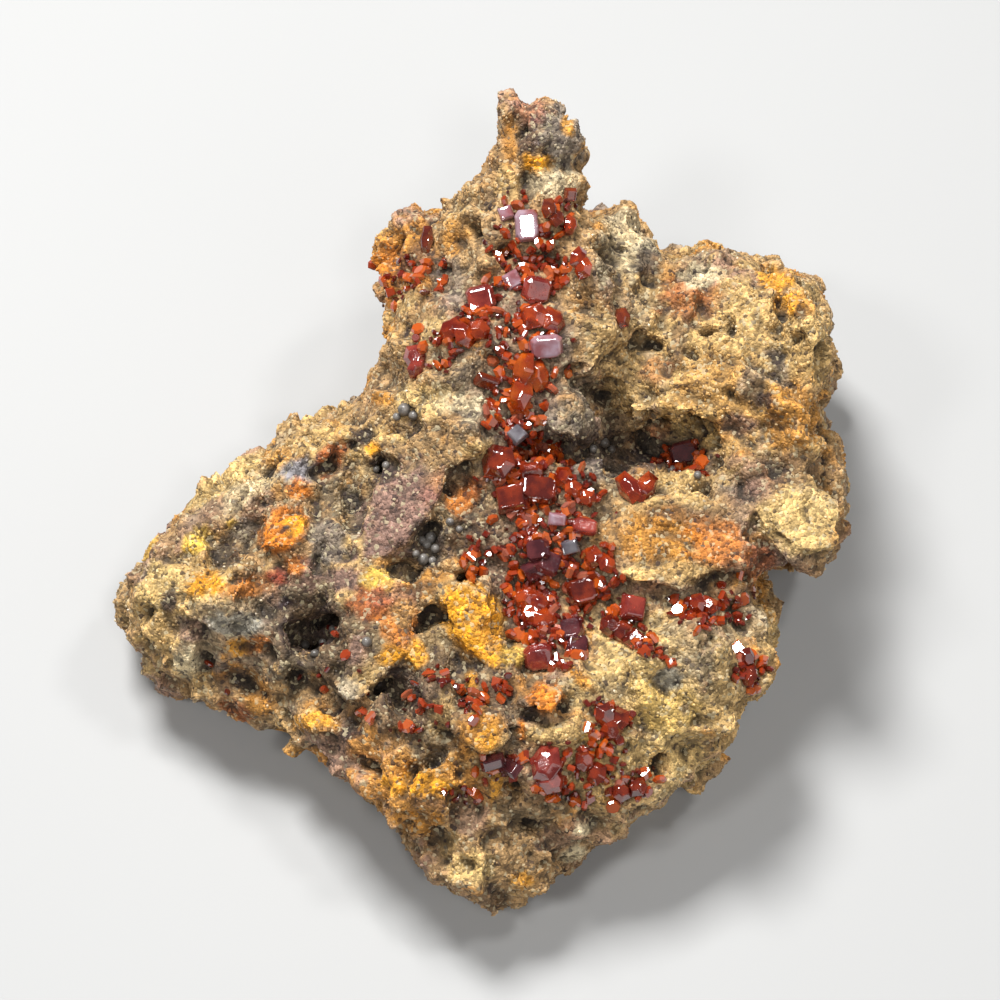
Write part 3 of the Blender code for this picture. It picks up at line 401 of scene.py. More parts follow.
# Which finish each crystal group of the frame has.
GROUP_FINISH = {
    "lavender_tablet": "lavender", "bluish_tablet": "lavender", "horn_brown_group": "red_brown",
    "horn_orange_lens": "orange_red", "horn_edge_crystal": "red_brown",
    "waist_orange_pair": "orange_red", "round_pink_disc": "pink_red", "pale_tablet": "lavender",
    "pink_flat_tablet": "pink_red", "red_blades": "orange_red", "left_pink_disc": "pink_red",
    "big_red_lens": "orange_red", "pink_tablet": "lavender", "orange_lenses": "bright_orange",
    "glinting_blade": "red_brown", "small_red_knob": "orange_red", "dark_silver_crystal": "grey",
    "big_dark_disc": "deep_red", "grey_topped_block": "deep_red", "orange_knob_ridge": "orange_red",
    "bluish_face": "lavender", "heart_twin": "orange_red", "small_heart_neighbour": "red_brown",
    "mauve_red_crystal": "pink_red", "metallic_grey_crystal": "grey", "red_ridge": "orange_red",
    "brown_purple_group": "purple_brown", "red_block_mid": "deep_red", "boxy_red_tablet": "pink_red",
    "red_vein": "deep_red", "orange_druse_group": "orange_red", "right_red_patch": "deep_red",
    "blade_field": "orange_red", "purple_group": "purple_brown", "white_faced_block": "pink_red",
    "granular_red_group": "deep_red", "front_lens_group": "pink_red",
    "front_dark_blades": "purple_brown", "front_red_group": "deep_red", "edge_red_row": "deep_red",
    "knob_blade": "red_brown", "pit_crystal": "red_brown", "deep_crystal": "purple_brown",
}

# Shapes of the rock's surface, in millimetres.
PLATE_RISE = 1.35
PLATE_CALM = 0.38
PLATE_SLOPE = 2.5
BLOCK_PITCH = 4.2
BLOCK_STEP = 0.95
BLOCK_TILT = 1.7
CHIP_PITCH = 1.9
CHIP_STEP = 0.38
CRACK_SHARE = 0.10
CRACK_DEPTH = 0.85
WARP_PITCH = 2.6
WARP = 0.9
PIT_PITCH = 3.4
PIT_START = 0.36
PIT_END = 0.52
PIT_DEPTH = 2.4
PIT_WARP = 2.0
PIT_RAGGED = 0.4
PIT_OFFSET = Vector((31.0, 7.0, 3.0))
CRUMB_PITCH = 1.15
CRUMB_RISE = 0.35
FOOT_HEIGHT = 2.2
CLEAR_NEAR = 0.35
CLEAR_FAR = 2.0
HOLLOW_ROUNDS = 14
HOLLOW_SCALE = 0.45
WIDE_ROUNDS = 90
WIDE_SCALE = 1.3
STAIN_REACH = 5.0
SAND_LOWEST = 0.4
SAND_FULL = 1.2


# Texture scales, in features per metre.
ROCK_GRAIN_SCALE = 2300.0
ROCK_DUST_SCALE = 5200.0
ROCK_CLUMP_SCALE = 900.0
SAND_DUST_SCALE = 5000.0
CRYSTAL_ZONE_SCALE = 520.0
CRYSTAL_WAVE_SCALE = 1500.0
BALL_CLOUD_SCALE = 1400.0
FLOOR_CLOUD_SCALE = 6.0

# Colours along the lot of each small tablet, from the first to the last.
DRUSE_COLOURS = [
    (0.0, (0.07, 0.010, 0.009, 1.0)), (0.46, (0.24, 0.020, 0.008, 1.0)),
    (0.76, (0.50, 0.060, 0.010, 1.0)), (0.93, (0.72, 0.130, 0.012, 1.0)),
    (1.0, (0.42, 0.130, 0.090, 1.0)),
]
BALL_COLOURS = ((0.10, 0.09, 0.08, 1.0), (0.21, 0.19, 0.17, 1.0))
FLOOR_COLOURS = ((0.40, 0.40, 0.395, 1.0), (0.43, 0.43, 0.425, 1.0))
SKY_COLOUR = (0.95, 0.97, 1.0, 1.0)

# Growth terraces and edges of the large crystals.
TERRACE_LEAST_AREA = 1.6e-6
TERRACE_INSET = 0.00025
TERRACE_RISE = 0.00006
FLAT_ANGLE = math.radians(2.0)
SHARP_ANGLE = math.radians(14.0)
WELD_DISTANCE = 2e-6

# Small tablets: sides, share of the table, thickness and squash.
TABLETS = [(6, 0.55, 0.42, 0.85), (6, 0.6, 0.36, 1.0), (4, 0.8, 0.4, 1.0), (8, 0.75, 0.34, 0.9)]
TABLET_TURN = 0.12
TABLET_REACH = (0.42, 0.55)
TABLET_SIZES = (0.45, 1.4)
TABLET_LIFT = 0.2

# Sand: stretch along each axis, dent of each corner, sizes, kinds, and bands across in mm.
GRAIN_STRETCH = ((0.8, 1.2), (0.7, 1.0), (0.6, 0.95))
GRAIN_DENT = (0.78, 1.15)
GRAIN_SIZES = (0.5, 1.5)
GRAIN_KINDS = 4
SAND_BANDS = (
    ("left_sand", -100.0, -9.0), ("middle_sand", -9.0, 12.0), ("right_sand", 12.0, 100.0))

# Balls: share of the radius that stands out, and unevenness.
BALL_RISE = 0.4
BALL_DENT = (0.96, 1.04)

# Lamps: name, place, width, height and power in watts. Each faces the specimen.
LAMPS = [
    ("key softbox", (-0.16, 0.24, 0.60), 0.20, 0.20, 6.8),
    ("fill softbox", (0.45, -0.45, 0.45), 0.60, 0.60, 0.7),
    ("glint lamp left", (-0.30, -0.28, 0.60), 0.10, 0.10, 1.1),
    ("glint lamp front", (0.10, -0.40, 0.62), 0.09, 0.09, 1.1),
    ("glint lamp right", (0.30, 0.05, 0.62), 0.09, 0.09, 1.1),
]
FLOOR_SIZE = 4.0
SKY_STRENGTH = 0.09


class SpecimenSettings(bpy.types.PropertyGroup):
    """Sizes and amounts that shape the look of the specimen."""

    body_voxel: bpy.props.FloatProperty(
        name="Body voxel", description="Voxel that joins the plates to the rock",
        default=0.0006, unit="LENGTH", subtype="DISTANCE")
    rock_voxel: bpy.props.FloatProperty(
        name="Rock voxel", description="Voxel of the finished rock surface",
        default=0.00046, unit="LENGTH", subtype="DISTANCE")
    rock_triangles: bpy.props.IntProperty(
        name="Rock triangles", description="Most triangles that the rock keeps", default=194000)
    grain_size: bpy.props.FloatProperty(
        name="Grain size", description="Width of a common sand grain on the rock",
        default=0.00036, unit="LENGTH", subtype="DISTANCE")
    grain_density: bpy.props.FloatProperty(
        name="Grain density", description="Grains on each square metre of rock", default=1.6e6)
    druse_size: bpy.props.FloatProperty(
        name="Druse size", description="Width of a common small tablet",
        default=0.00145, unit="LENGTH", subtype="DISTANCE")
    druse_density: bpy.props.FloatProperty(
        name="Druse density", description="Small tablets on each square metre where they crowd",
        default=1.75e6)
    crystal_growth: bpy.props.FloatProperty(
        name="Crystal growth", description="How far a crystal fills the gap of its seat",
        default=0.00018, unit="LENGTH", subtype="DISTANCE")
    crystal_edge: bpy.props.FloatProperty(
        name="Crystal edge", description="Width of the bevel along crystal edges",
        default=0.00010, unit="LENGTH", subtype="DISTANCE")
    seed: bpy.props.IntProperty(
        name="Seed", description="Start of every random order", default=7)


def display_point(across, up):
    return MIDDLE + RIGHT * (across * MM) + UPWARD * (up * MM)


def display_places(points):
    """Across and up in millimetres, and distance from the sight point, of rows of points."""
    offsets = points - np.array(SIGHT_POINT)
    depth = offsets @ np.array(SIGHT)
    across = offsets @ np.array(RIGHT) / depth * SIGHT_DISTANCE / MM
    up = offsets @ np.array(UPWARD) / depth * SIGHT_DISTANCE / MM
    return across, up, np.linalg.norm(offsets, axis=1)


def first_hit(tree, across, up):
    """The first point that the sight line through a display place meets, and its normal."""
    ray = (display_point(across, up) - SIGHT_POINT).normalized()
    place, normal, _, _ = tree.ray_cast(SIGHT_POINT, ray)
    return place, normal


def smooth_step(low, high, value):
    share = np.clip((value - low) / (high - low), 0.0, 1.0)
    return share * share * (3.0 - 2.0 * share)


def add_object(name, mesh):
    item = bpy.data.objects.new(name, mesh)
    bpy.context.scene.collection.objects.link(item)
    return item


def mesh_from(shape, name):
    mesh = bpy.data.meshes.new(name)
    shape.to_mesh(mesh)
    shape.free()
    return mesh


def frame_shape(*nodes):
    """The welded mesh of one or more nodes of the frame."""
    shape = bmesh.new()
    for node in nodes:
        shape.from_mesh(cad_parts[node].data)
    bmesh.ops.remove_doubles(shape, verts=shape.verts, dist=1e-6)
    bmesh.ops.recalc_face_normals(shape, faces=shape.faces)
    return shape


def settle(item):
    """Turns an object's modifiers into plain mesh."""
    graph = bpy.context.evaluated_depsgraph_get()
    mesh = bpy.data.meshes.new_from_object(item.evaluated_get(graph))
    item.modifiers.clear()
    old = item.data
    item.data = mesh
    bpy.data.meshes.remove(old)


def remesh(item, voxel):
    skin = item.modifiers.new("Even skin", "REMESH")
    skin.mode = "VOXEL"
    skin.voxel_size = voxel
    settle(item)


def thin(item, triangles):
    """Collapses edges until the mesh has at most this many triangles."""
    count = sum(len(face.vertices) - 2 for face in item.data.polygons)
    if count <= triangles:
        return
    collapse = item.modifiers.new("Thin", "DECIMATE")
    collapse.ratio = triangles / count
    settle(item)


def vertex_rows(mesh):
    points = np.empty(len(mesh.vertices) * 3, np.float32)
    mesh.vertices.foreach_get("co", points)
    normals = np.empty(len(mesh.vertices) * 3, np.float32)
    mesh.vertex_normals.foreach_get("vector", normals)
    return points.reshape(-1, 3).astype(float), normals.reshape(-1, 3).astype(float)


def write_vertices(mesh, points):
    mesh.vertices.foreach_set("co", points.astype(np.float32).ravel())
    mesh.update()


def smoothed(mesh, values, rounds):
    """Values averaged over the neighbours of each vertex, this many times."""
    edges = np.empty(len(mesh.edges) * 2, np.int32)
    mesh.edges.foreach_get("vertices", edges)
    first, second = edges.reshape(-1, 2).T
    count = len(mesh.vertices)
    near = np.bincount(first, minlength=count) + np.bincount(second, minlength=count)
    near = np.maximum(near, 1)
    result = values.copy()
    for _ in range(rounds):
        for axis in range(result.shape[1]):
            column = result[:, axis]
            total = np.bincount(first, column[second], count) + np.bincount(second, column[first], count)
            result[:, axis] = 0.5 * column + 0.5 * total / near
    return result


def crystal_clearance(points):
    """0 beside the crystals of the frame, rising to 1 away from them."""
    nodes = [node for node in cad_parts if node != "matrix"]
    shape = frame_shape(*nodes)
    tree = BVHTree.FromBMesh(shape)
    shape.free()
    far = CLEAR_FAR * MM
    gaps = np.full(len(points), far)
    for number, point in enumerate(points):
        found = tree.find_nearest(Vector(point), far)
        if found[0] is not None:
            gaps[number] = found[3]
    return smooth_step(CLEAR_NEAR * MM, far, gaps)


def block_push(point):
    """How far a point of the rock moves along its normal, in millimetres."""
    warped = point + noise.noise_vector(point / WARP_PITCH) * WARP
    gaps, places = noise.voronoi(warped / BLOCK_PITCH)
    offset = warped / BLOCK_PITCH - places[0]
    push = noise.cell(places[0] * 17.3) * BLOCK_STEP
    push += offset.dot(noise.cell_vector(places[0] * 9.1)) * BLOCK_TILT
    edge = (gaps[1] - gaps[0]) / CRACK_SHARE
    if edge < 1.0:
        push -= (1.0 - edge) * CRACK_DEPTH
    chip_gaps, chips = noise.voronoi(warped / CHIP_PITCH)
    push += noise.cell(chips[0] * 23.7) * CHIP_STEP
    chip_edge = (chip_gaps[1] - chip_gaps[0]) / (CRACK_SHARE * 1.5)
    if chip_edge < 1.0:
        push -= (1.0 - chip_edge) * CHIP_STEP
    push += (noise.turbulence(point / CRUMB_PITCH, 2, True) - 0.4) * CRUMB_RISE
    return push


def inside_outline(across, up, outline):
    """True where a display place lies inside a closed outline."""
    inside = np.zeros(len(across), bool)
    for (x1, y1), (x2, y2) in zip(outline, outline[1:] + outline[:1]):
        if y1 == y2:
            continue
        crosses = (y1 > up) != (y2 > up)
        inside ^= crosses & (across < (x2 - x1) * (up - y1) / (y2 - y1) + x1)
    return inside


def plate_calm(mesh, points, normals):
    """1 on broken rock, and less on the faces of the plates, which stay flatter."""
    across, up, depth = display_places(points)
    tree = BVHTree.FromPolygons([Vector(point) for point in points],
                                [tuple(face.vertices) for face in mesh.polygons])
    facing = -(normals @ np.array(SIGHT))
    calm = np.ones(len(points))
    for _, _, thickness, outline in PLATES:
        middle = np.mean(outline, axis=0)
        place, _ = first_hit(tree, middle[0], middle[1])
        near = np.abs(depth - (place - SIGHT_POINT).length) < (thickness + PLATE_SLOPE) * MM
        calm[inside_outline(across, up, outline) & near & (facing > 0.0)] = PLATE_CALM
    return calm


def pit_share(point):
    bent = point + noise.noise_vector(point / WARP_PITCH) * PIT_WARP
    value = noise.noise(bent / PIT_PITCH + PIT_OFFSET)
    return value + PIT_RAGGED * noise.noise(bent / (PIT_PITCH * 0.4))


def weather(mesh):
    """Breaks the rock's skin into blocks, chips and pits, and leaves its foot flat."""
    points, normals = vertex_rows(mesh)
    millimetres = [Vector(point) / MM for point in points]
    pushes = np.array([block_push(point) for point in millimetres])
    pits = smooth_step(PIT_START, PIT_END, np.array([pit_share(point) for point in millimetres]))
    clear = crystal_clearance(points)
    foot = smooth_step(0.3, FOOT_HEIGHT, points[:, 2] / MM)
    outward = np.maximum(pushes, 0.0) * clear
    inward = np.minimum(pushes, 0.0) * (0.3 + 0.7 * clear)
    calm = plate_calm(mesh, points, normals)
    moves = ((outward + inward) * calm - pits * PIT_DEPTH * clear * calm ** 3) * foot * MM
    points += normals * moves[:, None]
    points[:, 2] = np.maximum(points[:, 2], 0.0)
    write_vertices(mesh, points)


def plate_builder(shape, tree, row):
    """Adds a plate: a rough prism whose face follows the rock below its outline."""
    _, proud, thickness, outline = row
    proud *= PLATE_RISE
    middle = np.mean(outline, axis=0)
    samples = list(outline) + [tuple(0.5 * (np.array(corner) + middle)) for corner in outline]
    found = []
    for across, up in samples:
        place, _ = first_hit(tree, across, up)
        if place is not None:
            found.append((1.0, across, up, (place - SIGHT_POINT).length / MM))
    table = np.array(found)
    level = np.median(table[:, 3])
    table[:, 3] = np.clip(table[:, 3], level - 2.5, level + 2.5)
    plane, _, _, _ = np.linalg.lstsq(table[:, :3], table[:, 3], rcond=None)
    rings = []
    for rise, spread in ((-proud, 0.97), (-proud + 0.5, 1.03), (thickness, 0.92)):
        ring = []
        for across, up in outline:
            wide = middle[0] + (across - middle[0]) * spread
            high = middle[1] + (up - middle[1]) * spread
            depth = plane @ np.array((1.0, across, up)) + rise
            ray = (display_point(wide, high) - SIGHT_POINT).normalized()
            ring.append(shape.verts.new(SIGHT_POINT + ray * (depth * MM)))
        rings.append(ring)
    faces = [shape.faces.new(rings[0]), shape.faces.new(list(reversed(rings[-1])))]
    count = len(outline)
    for upper, lower in zip(rings, rings[1:]):
        for first in range(count):
            second = (first + 1) % count
            faces.append(shape.faces.new((upper[first], lower[first], lower[second], upper[second])))
    bmesh.ops.recalc_face_normals(shape, faces=faces)


def in_ellipse(across, up, row):
    """Distance from the middle of a turned ellipse, 1 at its edge."""
    angle = math.radians(row[4])
    right = across - row[0]
    high = up - row[1]
    along = right * math.cos(angle) + high * math.sin(angle)
    aside = high * math.cos(angle) - right * math.sin(angle)
    return np.hypot(along / row[2], aside / row[3])


def noise_column(points, pitch, offset):
    shift = Vector((offset, offset * 0.7, offset * 1.3))
    return np.array([noise.noise(Vector(point) / (pitch * MM) + shift) for point in points])


def blend(colours, share, colour):
    return colours * (1.0 - share[:, None]) + np.array(colour) * share[:, None]


def paint_rock(mesh):
    """Writes the rock's stain colour with painted shade in the hollows, the hollow and ridge measures, and
    where small crystals crowd it.
    """
    points, normals = vertex_rows(mesh)
    across, up, depth = display_places(points)
    offsets = points - np.array(SIGHT_POINT)
    facing = -(normals * offsets).sum(axis=1) / np.linalg.norm(offsets, axis=1)
    tree = BVHTree.FromObject(bpy.context.scene.objects["tan_rock"], bpy.context.evaluated_depsgraph_get())
    broad = noise_column(points, 9.0, 3.0)
    middle = noise_column(points, 4.0, 11.0)
    fine = noise_column(points, 1.5, 23.0)
    finest = noise_column(points, 0.8, 37.0)
    colours = np.tile(np.array(TAN), (len(points), 1))
    colours = blend(colours, smooth_step(0.05, 0.5, broad), SAND)
    colours = blend(colours, smooth_step(0.05, 0.5, -broad) * 0.8, MAUVE)
    colours = blend(colours, smooth_step(0.15, 0.55, middle) * 0.8, OCHRE)
    colours = blend(colours, smooth_step(0.2, 0.6, -middle) * 0.7, GREY)
    crowding = np.zeros(len(points))
    ragged = 0.28 * middle + 0.40 * fine + 0.30 * finest
    seen = smooth_step(-0.25, 0.15, facing)
    # Each row paints a stain or fresh face; the last rows paint shadow into hollows and pits.
    for row in STAINS_AND_SHADOWS:
        place, _ = first_hit(tree, row[0], row[1])
        near = np.ones(len(points))
        if place is not None:
            reach = (max(row[2], row[3]) + STAIN_REACH) * MM
            near = 1.0 - smooth_step(reach, reach * 1.4, np.abs(depth - (place - SIGHT_POINT).length))
        share = 1.0 - smooth_step(0.75, 1.15, in_ellipse(across, up, row) + ragged)
        colours = blend(colours, share * row[6] * near * seen, row[5])
    for row in DRUSE:
        place, _ = first_hit(tree, row[0], row[1])
        near = np.ones(len(points))
        if place is not None:
            reach = (max(row[2], row[3]) + STAIN_REACH) * MM
            near = 1.0 - smooth_step(reach, reach * 1.4, np.abs(depth - (place - SIGHT_POINT).length))
        share = 1.0 - smooth_step(0.7, 1.15, in_ellipse(across, up, row) + ragged)
        crowding = np.maximum(crowding, share * row[5] * near * seen)
    speckle = 1.0 + 0.28 * fine + 0.30 * finest
    colours = np.clip(colours * speckle[:, None], 0.01, 0.9)
    colours = blend(colours, crowding * 0.6, BROWN)
    lie = smoothed(mesh, points, HOLLOW_ROUNDS)
    inward = ((lie - points) * normals).sum(axis=1) / (HOLLOW_SCALE * MM)
    hollow = smooth_step(0.05, 1.0, inward)
    ridge = smooth_step(0.05, 1.0, -inward)
    wide = smoothed(mesh, points, WIDE_ROUNDS)
    shut_in_shade = smooth_step(0.1, 1.0, ((wide - points) * normals).sum(axis=1) / (WIDE_SCALE * MM))
    # Painted shade: the colour turns olive, then near black, in hollows and deep recesses where shade
    # falls. The grains take this colour too.
    colours = blend(colours, np.maximum(0.5 * hollow, 0.75 * shut_in_shade), OLIVE)
    colours = blend(colours, 0.55 * shut_in_shade * hollow, DARK)
    write_colour(mesh, "tint", colours)
    write_value(mesh, "hollow", hollow)
    write_value(mesh, "ridge", ridge)
    write_value(mesh, "crowding", crowding)
    above_foot = smooth_step(SAND_LOWEST, SAND_FULL, points[:, 2] / MM)
    write_value(mesh, "sand", (0.35 + 0.65 * (1.0 - hollow)) * (1.0 - 0.6 * crowding) * above_foot)


def write_colour(mesh, name, colours):
    layer = mesh.attributes.new(name, "FLOAT_COLOR", "POINT")
    rows = np.ones((len(colours), 4), np.float32)
    rows[:, :3] = colours
    layer.data.foreach_set("color", rows.ravel())


def write_value(mesh, name, values):
    layer = mesh.attributes.new(name, "FLOAT", "POINT")
    layer.data.foreach_set("value", values.astype(np.float32))


class Wiring:
    """Adds and links the nodes of one material or geometry tree."""

    def __init__(self, tree):
        self.tree = tree

    def add(self, kind, links=None, **settings):
        node = self.tree.nodes.new(kind)
        for name, value in settings.items():
            setattr(node, name, value)
        for name, value in (links or {}).items():
            self.put(node.inputs[name], value)
        return node

    def put(self, socket, value):
        if isinstance(value, bpy.types.NodeSocket):
            self.tree.links.new(value, socket)
        else:
            socket.default_value = value

    def math(self, operation, *values, clamp=False):
        node = self.tree.nodes.new("ShaderNodeMath")
        node.operation = operation
        node.use_clamp = clamp
        for socket, value in zip(node.inputs, values):
            self.put(socket, value)
        return node.outputs[0]

    def span(self, value, low, high, to_low, to_high):
        node = self.add("ShaderNodeMapRange", {
            "Value": value, "From Min": low, "From Max": high, "To Min": to_low, "To Max": to_high})
        return node.outputs["Result"]

    def mix(self, share, first, second, blend_type="MIX"):
        node = self.tree.nodes.new("ShaderNodeMix")
        node.data_type = "RGBA"
        node.blend_type = blend_type
        self.put(node.inputs[0], share)
        self.put(node.inputs[6], first)
        self.put(node.inputs[7], second)
        return node.outputs[2]

    def painted(self, name, output="Fac"):
        return self.add("ShaderNodeAttribute", attribute_name=name).outputs[output]

    def cloud(self, scale, detail):
        place = self.add("ShaderNodeTexCoord").outputs["Object"]
        node = self.add("ShaderNodeTexNoise", {"Vector": place, "Scale": scale, "Detail": detail})
        return node.outputs["Fac"]

    def shaded(self, colour, shade):
        grey = self.add("ShaderNodeCombineColor", {"Red": shade, "Green": shade, "Blue": shade})
        return self.mix(1.0, colour, grey.outputs[0], "MULTIPLY")

    def bump(self, height, strength, distance):
        node = self.add("ShaderNodeBump", {
            "Height": height, "Strength": strength, "Distance": distance})
        return node.outputs["Normal"]

    def surface(self, sockets, clear=False):
        """Ends a material in one surface. A clear one also absorbs light inside."""
        ends = {"Surface": self.add("ShaderNodeBsdfPrincipled", sockets).outputs["BSDF"]}
        if clear:
            ends["Volume"] = self.add("ShaderNodeVolumeAbsorption", {
                "Color": ABSORPTION_COLOUR, "Density": ABSORPTION_DENSITY}).outputs["Volume"]
        self.add("ShaderNodeOutputMaterial", ends)


def new_material(name):
    material = bpy.data.materials.new(name)
    material.use_nodes = True
    material.node_tree.nodes.clear()
    return material, Wiring(material.node_tree)


def rock_material():
    """Granular stained rock: pale, ochre and dark grains over the painted stain colour, darker by painted
    shade in hollows and lighter by painted light on ridges.
    """
    material, wiring = new_material("stained_rock")
    place = wiring.add("ShaderNodeTexCoord").outputs["Object"]
    grains = wiring.add("ShaderNodeTexVoronoi", {
        "Vector": place, "Scale": ROCK_GRAIN_SCALE, "Randomness": 1.0})
    parts = wiring.add("ShaderNodeSeparateColor", {"Color": grains.outputs["Color"]}).outputs
    dust = wiring.cloud(ROCK_DUST_SCALE, 4.0)
    shade = 1.0
    for value, low, high, to_low, to_high in (
            (parts["Red"], 0.0, 1.0, 0.55, 1.5),
            (dust, 0.3, 0.7, 0.75, 1.3),
            (wiring.cloud(ROCK_CLUMP_SCALE, 3.0), 0.35, 0.65, 0.78, 1.2),
            # Painted shade in the hollows and painted light on the ridges.
            (wiring.painted("hollow"), 0.0, 1.0, 1.08, 0.38),
            (wiring.painted("ridge"), 0.0, 1.0, 0.95, 1.3)):
        shade = wiring.math("MULTIPLY", shade, wiring.span(value, low, high, to_low, to_high))
    colour = wiring.shaded(wiring.painted("tint", "Color"), shade)
    colour = wiring.mix(wiring.span(parts["Green"], 0.86, 0.93, 0.0, 0.55), colour, (*CREAM, 1.0))
    colour = wiring.mix(wiring.span(parts["Blue"], 0.14, 0.08, 0.0, 0.7), colour, (*DARK, 1.0))
    height = wiring.math("ADD", wiring.math("MULTIPLY", grains.outputs["Distance"], -0.9),
                         wiring.math("MULTIPLY", dust, 0.7))
    wiring.surface({
        "Base Color": colour, "Roughness": wiring.span(parts["Red"], 0.86, 0.97, 0.85, 0.32),
        "Normal": wiring.bump(height, 0.85, 0.00028)})
    return material


def grain_material():
    """Sand grains that take the stain and painted hollow shade below them, some white and some dark."""
    material, wiring = new_material("sand_grain")
    lot = wiring.painted("lot")
    dust = wiring.cloud(SAND_DUST_SCALE, 2.0)
    shade = wiring.math("MULTIPLY", wiring.span(lot, 0.0, 1.0, 0.55, 1.5),
                        wiring.span(dust, 0.3, 0.7, 0.8, 1.2))
    colour = wiring.shaded(wiring.painted("tint", "Color"), shade)
    colour = wiring.mix(wiring.span(lot, 0.93, 0.97, 0.0, 0.6), colour, (*CREAM, 1.0))
    colour = wiring.mix(wiring.span(lot, 0.10, 0.05, 0.0, 0.7), colour, (*BROWN, 1.0))
    wiring.surface({
        "Base Color": colour, "Roughness": wiring.span(lot, 0.7, 1.0, 0.62, 0.28),
        "Normal": wiring.bump(dust, 0.3, 0.0001)})
    return material


def crystal_material(name, finish):
    """Clear tinted crystal with deeper zones, wavy growth faces and a bright lustre."""
    light, deep, see_through, roughness = finish
    material, wiring = new_material(name)
    zones = wiring.span(wiring.cloud(CRYSTAL_ZONE_SCALE, 3.0), 0.36, 0.62, 0.0, 1.0)
    wiring.surface({
        "Base Color": wiring.mix(zones, (*light, 1.0), (*deep, 1.0)), "Roughness": roughness,
        "IOR": CRYSTAL_IOR, "Transmission Weight": see_through,
        "Normal": wiring.bump(wiring.cloud(CRYSTAL_WAVE_SCALE, 2.0), 0.35, 0.00006)}, clear=True)
    return material


def druse_material():
    """Small tablets that range from deep red-brown to orange."""
    material, wiring = new_material("small_tablet")
    ramp = wiring.add("ShaderNodeValToRGB", {"Fac": wiring.painted("lot")})
    stops = ramp.color_ramp.elements
    for stop, (position, colour) in zip(stops, DRUSE_COLOURS[:2]):
        stop.position = position
        stop.color = colour
    for position, colour in DRUSE_COLOURS[2:]:
        stops.new(position).color = colour
    wiring.surface({
        "Base Color": ramp.outputs["Color"], "Roughness": 0.09, "IOR": CRYSTAL_IOR,
        "Transmission Weight": 0.35}, clear=True)
    return material


def ball_material():
    """Grey glassy botryoidal skin."""
    material, wiring = new_material("grey_botryoidal")
    cloud = wiring.cloud(BALL_CLOUD_SCALE, 3.0)
    wiring.surface({
        "Base Color": wiring.mix(wiring.span(cloud, 0.35, 0.65, 0.0, 1.0), *BALL_COLOURS),
        "Roughness": 0.3, "Normal": wiring.bump(cloud, 0.4, 0.0001)})
    return material


def hand_in(item, slot, *nodes):
    """Parents a finished piece to the root empty and hides the frame nodes it stands for. The slot is not
    used.
    """
    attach(item, "root")
    if nodes:
        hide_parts(*nodes)


def build_rock(settings):
    noise.seed_set(settings.seed)
    shape = frame_shape("matrix")
    tree = BVHTree.FromBMesh(shape)
    for row in PLATES:
        plate_builder(shape, tree, row)
    item = add_object("tan_rock", mesh_from(shape, "tan_rock"))
    remesh(item, settings.body_voxel)
    weather(item.data)
    remesh(item, settings.rock_voxel)
    thin(item, settings.rock_triangles)
    paint_rock(item.data)
    item.data.materials.append(rock_material())
    hand_in(item, "tan_rock", "matrix")


def terrace(shape):
    """Raises a thin growth terrace on every face that is large enough."""
    faces = [face for face in shape.faces if face.calc_area() > TERRACE_LEAST_AREA]
    bmesh.ops.inset_individual(
        shape, faces=faces, thickness=TERRACE_INSET, depth=TERRACE_RISE)


def build_crystals(settings):
    """Each crystal group of the frame with bevelled edges and growth terraces."""
    materials = {name: crystal_material(f"{name}_wulfenite", finish)
                 for name, finish in FINISHES.items()}
    for node, finish in GROUP_FINISH.items():
        shape = frame_shape(node)
        bmesh.ops.dissolve_limit(
            shape, angle_limit=FLAT_ANGLE, verts=shape.verts, edges=shape.edges)
        for vertex in shape.verts:
            vertex.co += vertex.normal * settings.crystal_growth
        terrace(shape)
        sharp = [edge for edge in shape.edges
                 if edge.is_manifold and edge.calc_face_angle(0.0) > SHARP_ANGLE]
        bmesh.ops.bevel(shape, geom=sharp, offset=settings.crystal_edge, offset_type="OFFSET",
                        segments=1, profile=0.5, affect="EDGES", clamp_overlap=True)
        bmesh.ops.triangulate(shape, faces=shape.faces)
        bmesh.ops.remove_doubles(shape, verts=shape.verts, dist=WELD_DISTANCE)
        bmesh.ops.recalc_face_normals(shape, faces=shape.faces)
        item = add_object(f"{node}_crystal", mesh_from(shape, f"{node}_crystal"))
        item.data.materials.append(materials[finish])
        hand_in(item, finish, node)


def tablet_shape(name, sides, table, thickness, squash, order):
    """A small tablet one unit wide, with a table on each side and an uneven outline."""
    shape = bmesh.new()
    rings = []
    angles = [math.tau * (number + order.uniform(-TABLET_TURN, TABLET_TURN)) / sides
              for number in range(sides)]
    reach = [order.uniform(*TABLET_REACH) for _ in range(sides)]
    for level, share in ((-thickness / 2.0, table), (0.0, 1.0), (thickness / 2.0, table)):
        rings.append([
            shape.verts.new((
                math.cos(angle) * far * share, math.sin(angle) * far * share * squash, level))
            for angle, far in zip(angles, reach)])
    shape.faces.new(list(reversed(rings[0])))
    shape.faces.new(rings[-1])
    for lower, upper in zip(rings, rings[1:]):
        for first in range(sides):
            second = (first + 1) % sides
            shape.faces.new((lower[first], lower[second], upper[second], upper[first]))
    return add_object(name, mesh_from(shape, name))


def grain_shape(name, order):
    """A crumb one unit wide, with twenty uneven faces."""
    shape = bmesh.new()
    bmesh.ops.create_icosphere(shape, subdivisions=1, radius=0.5)
    stretch = Vector([order.uniform(*limits) for limits in GRAIN_STRETCH])
    for vertex in shape.verts:
        vertex.co = vertex.co * stretch * order.uniform(*GRAIN_DENT)
    return add_object(name, mesh_from(shape, name))


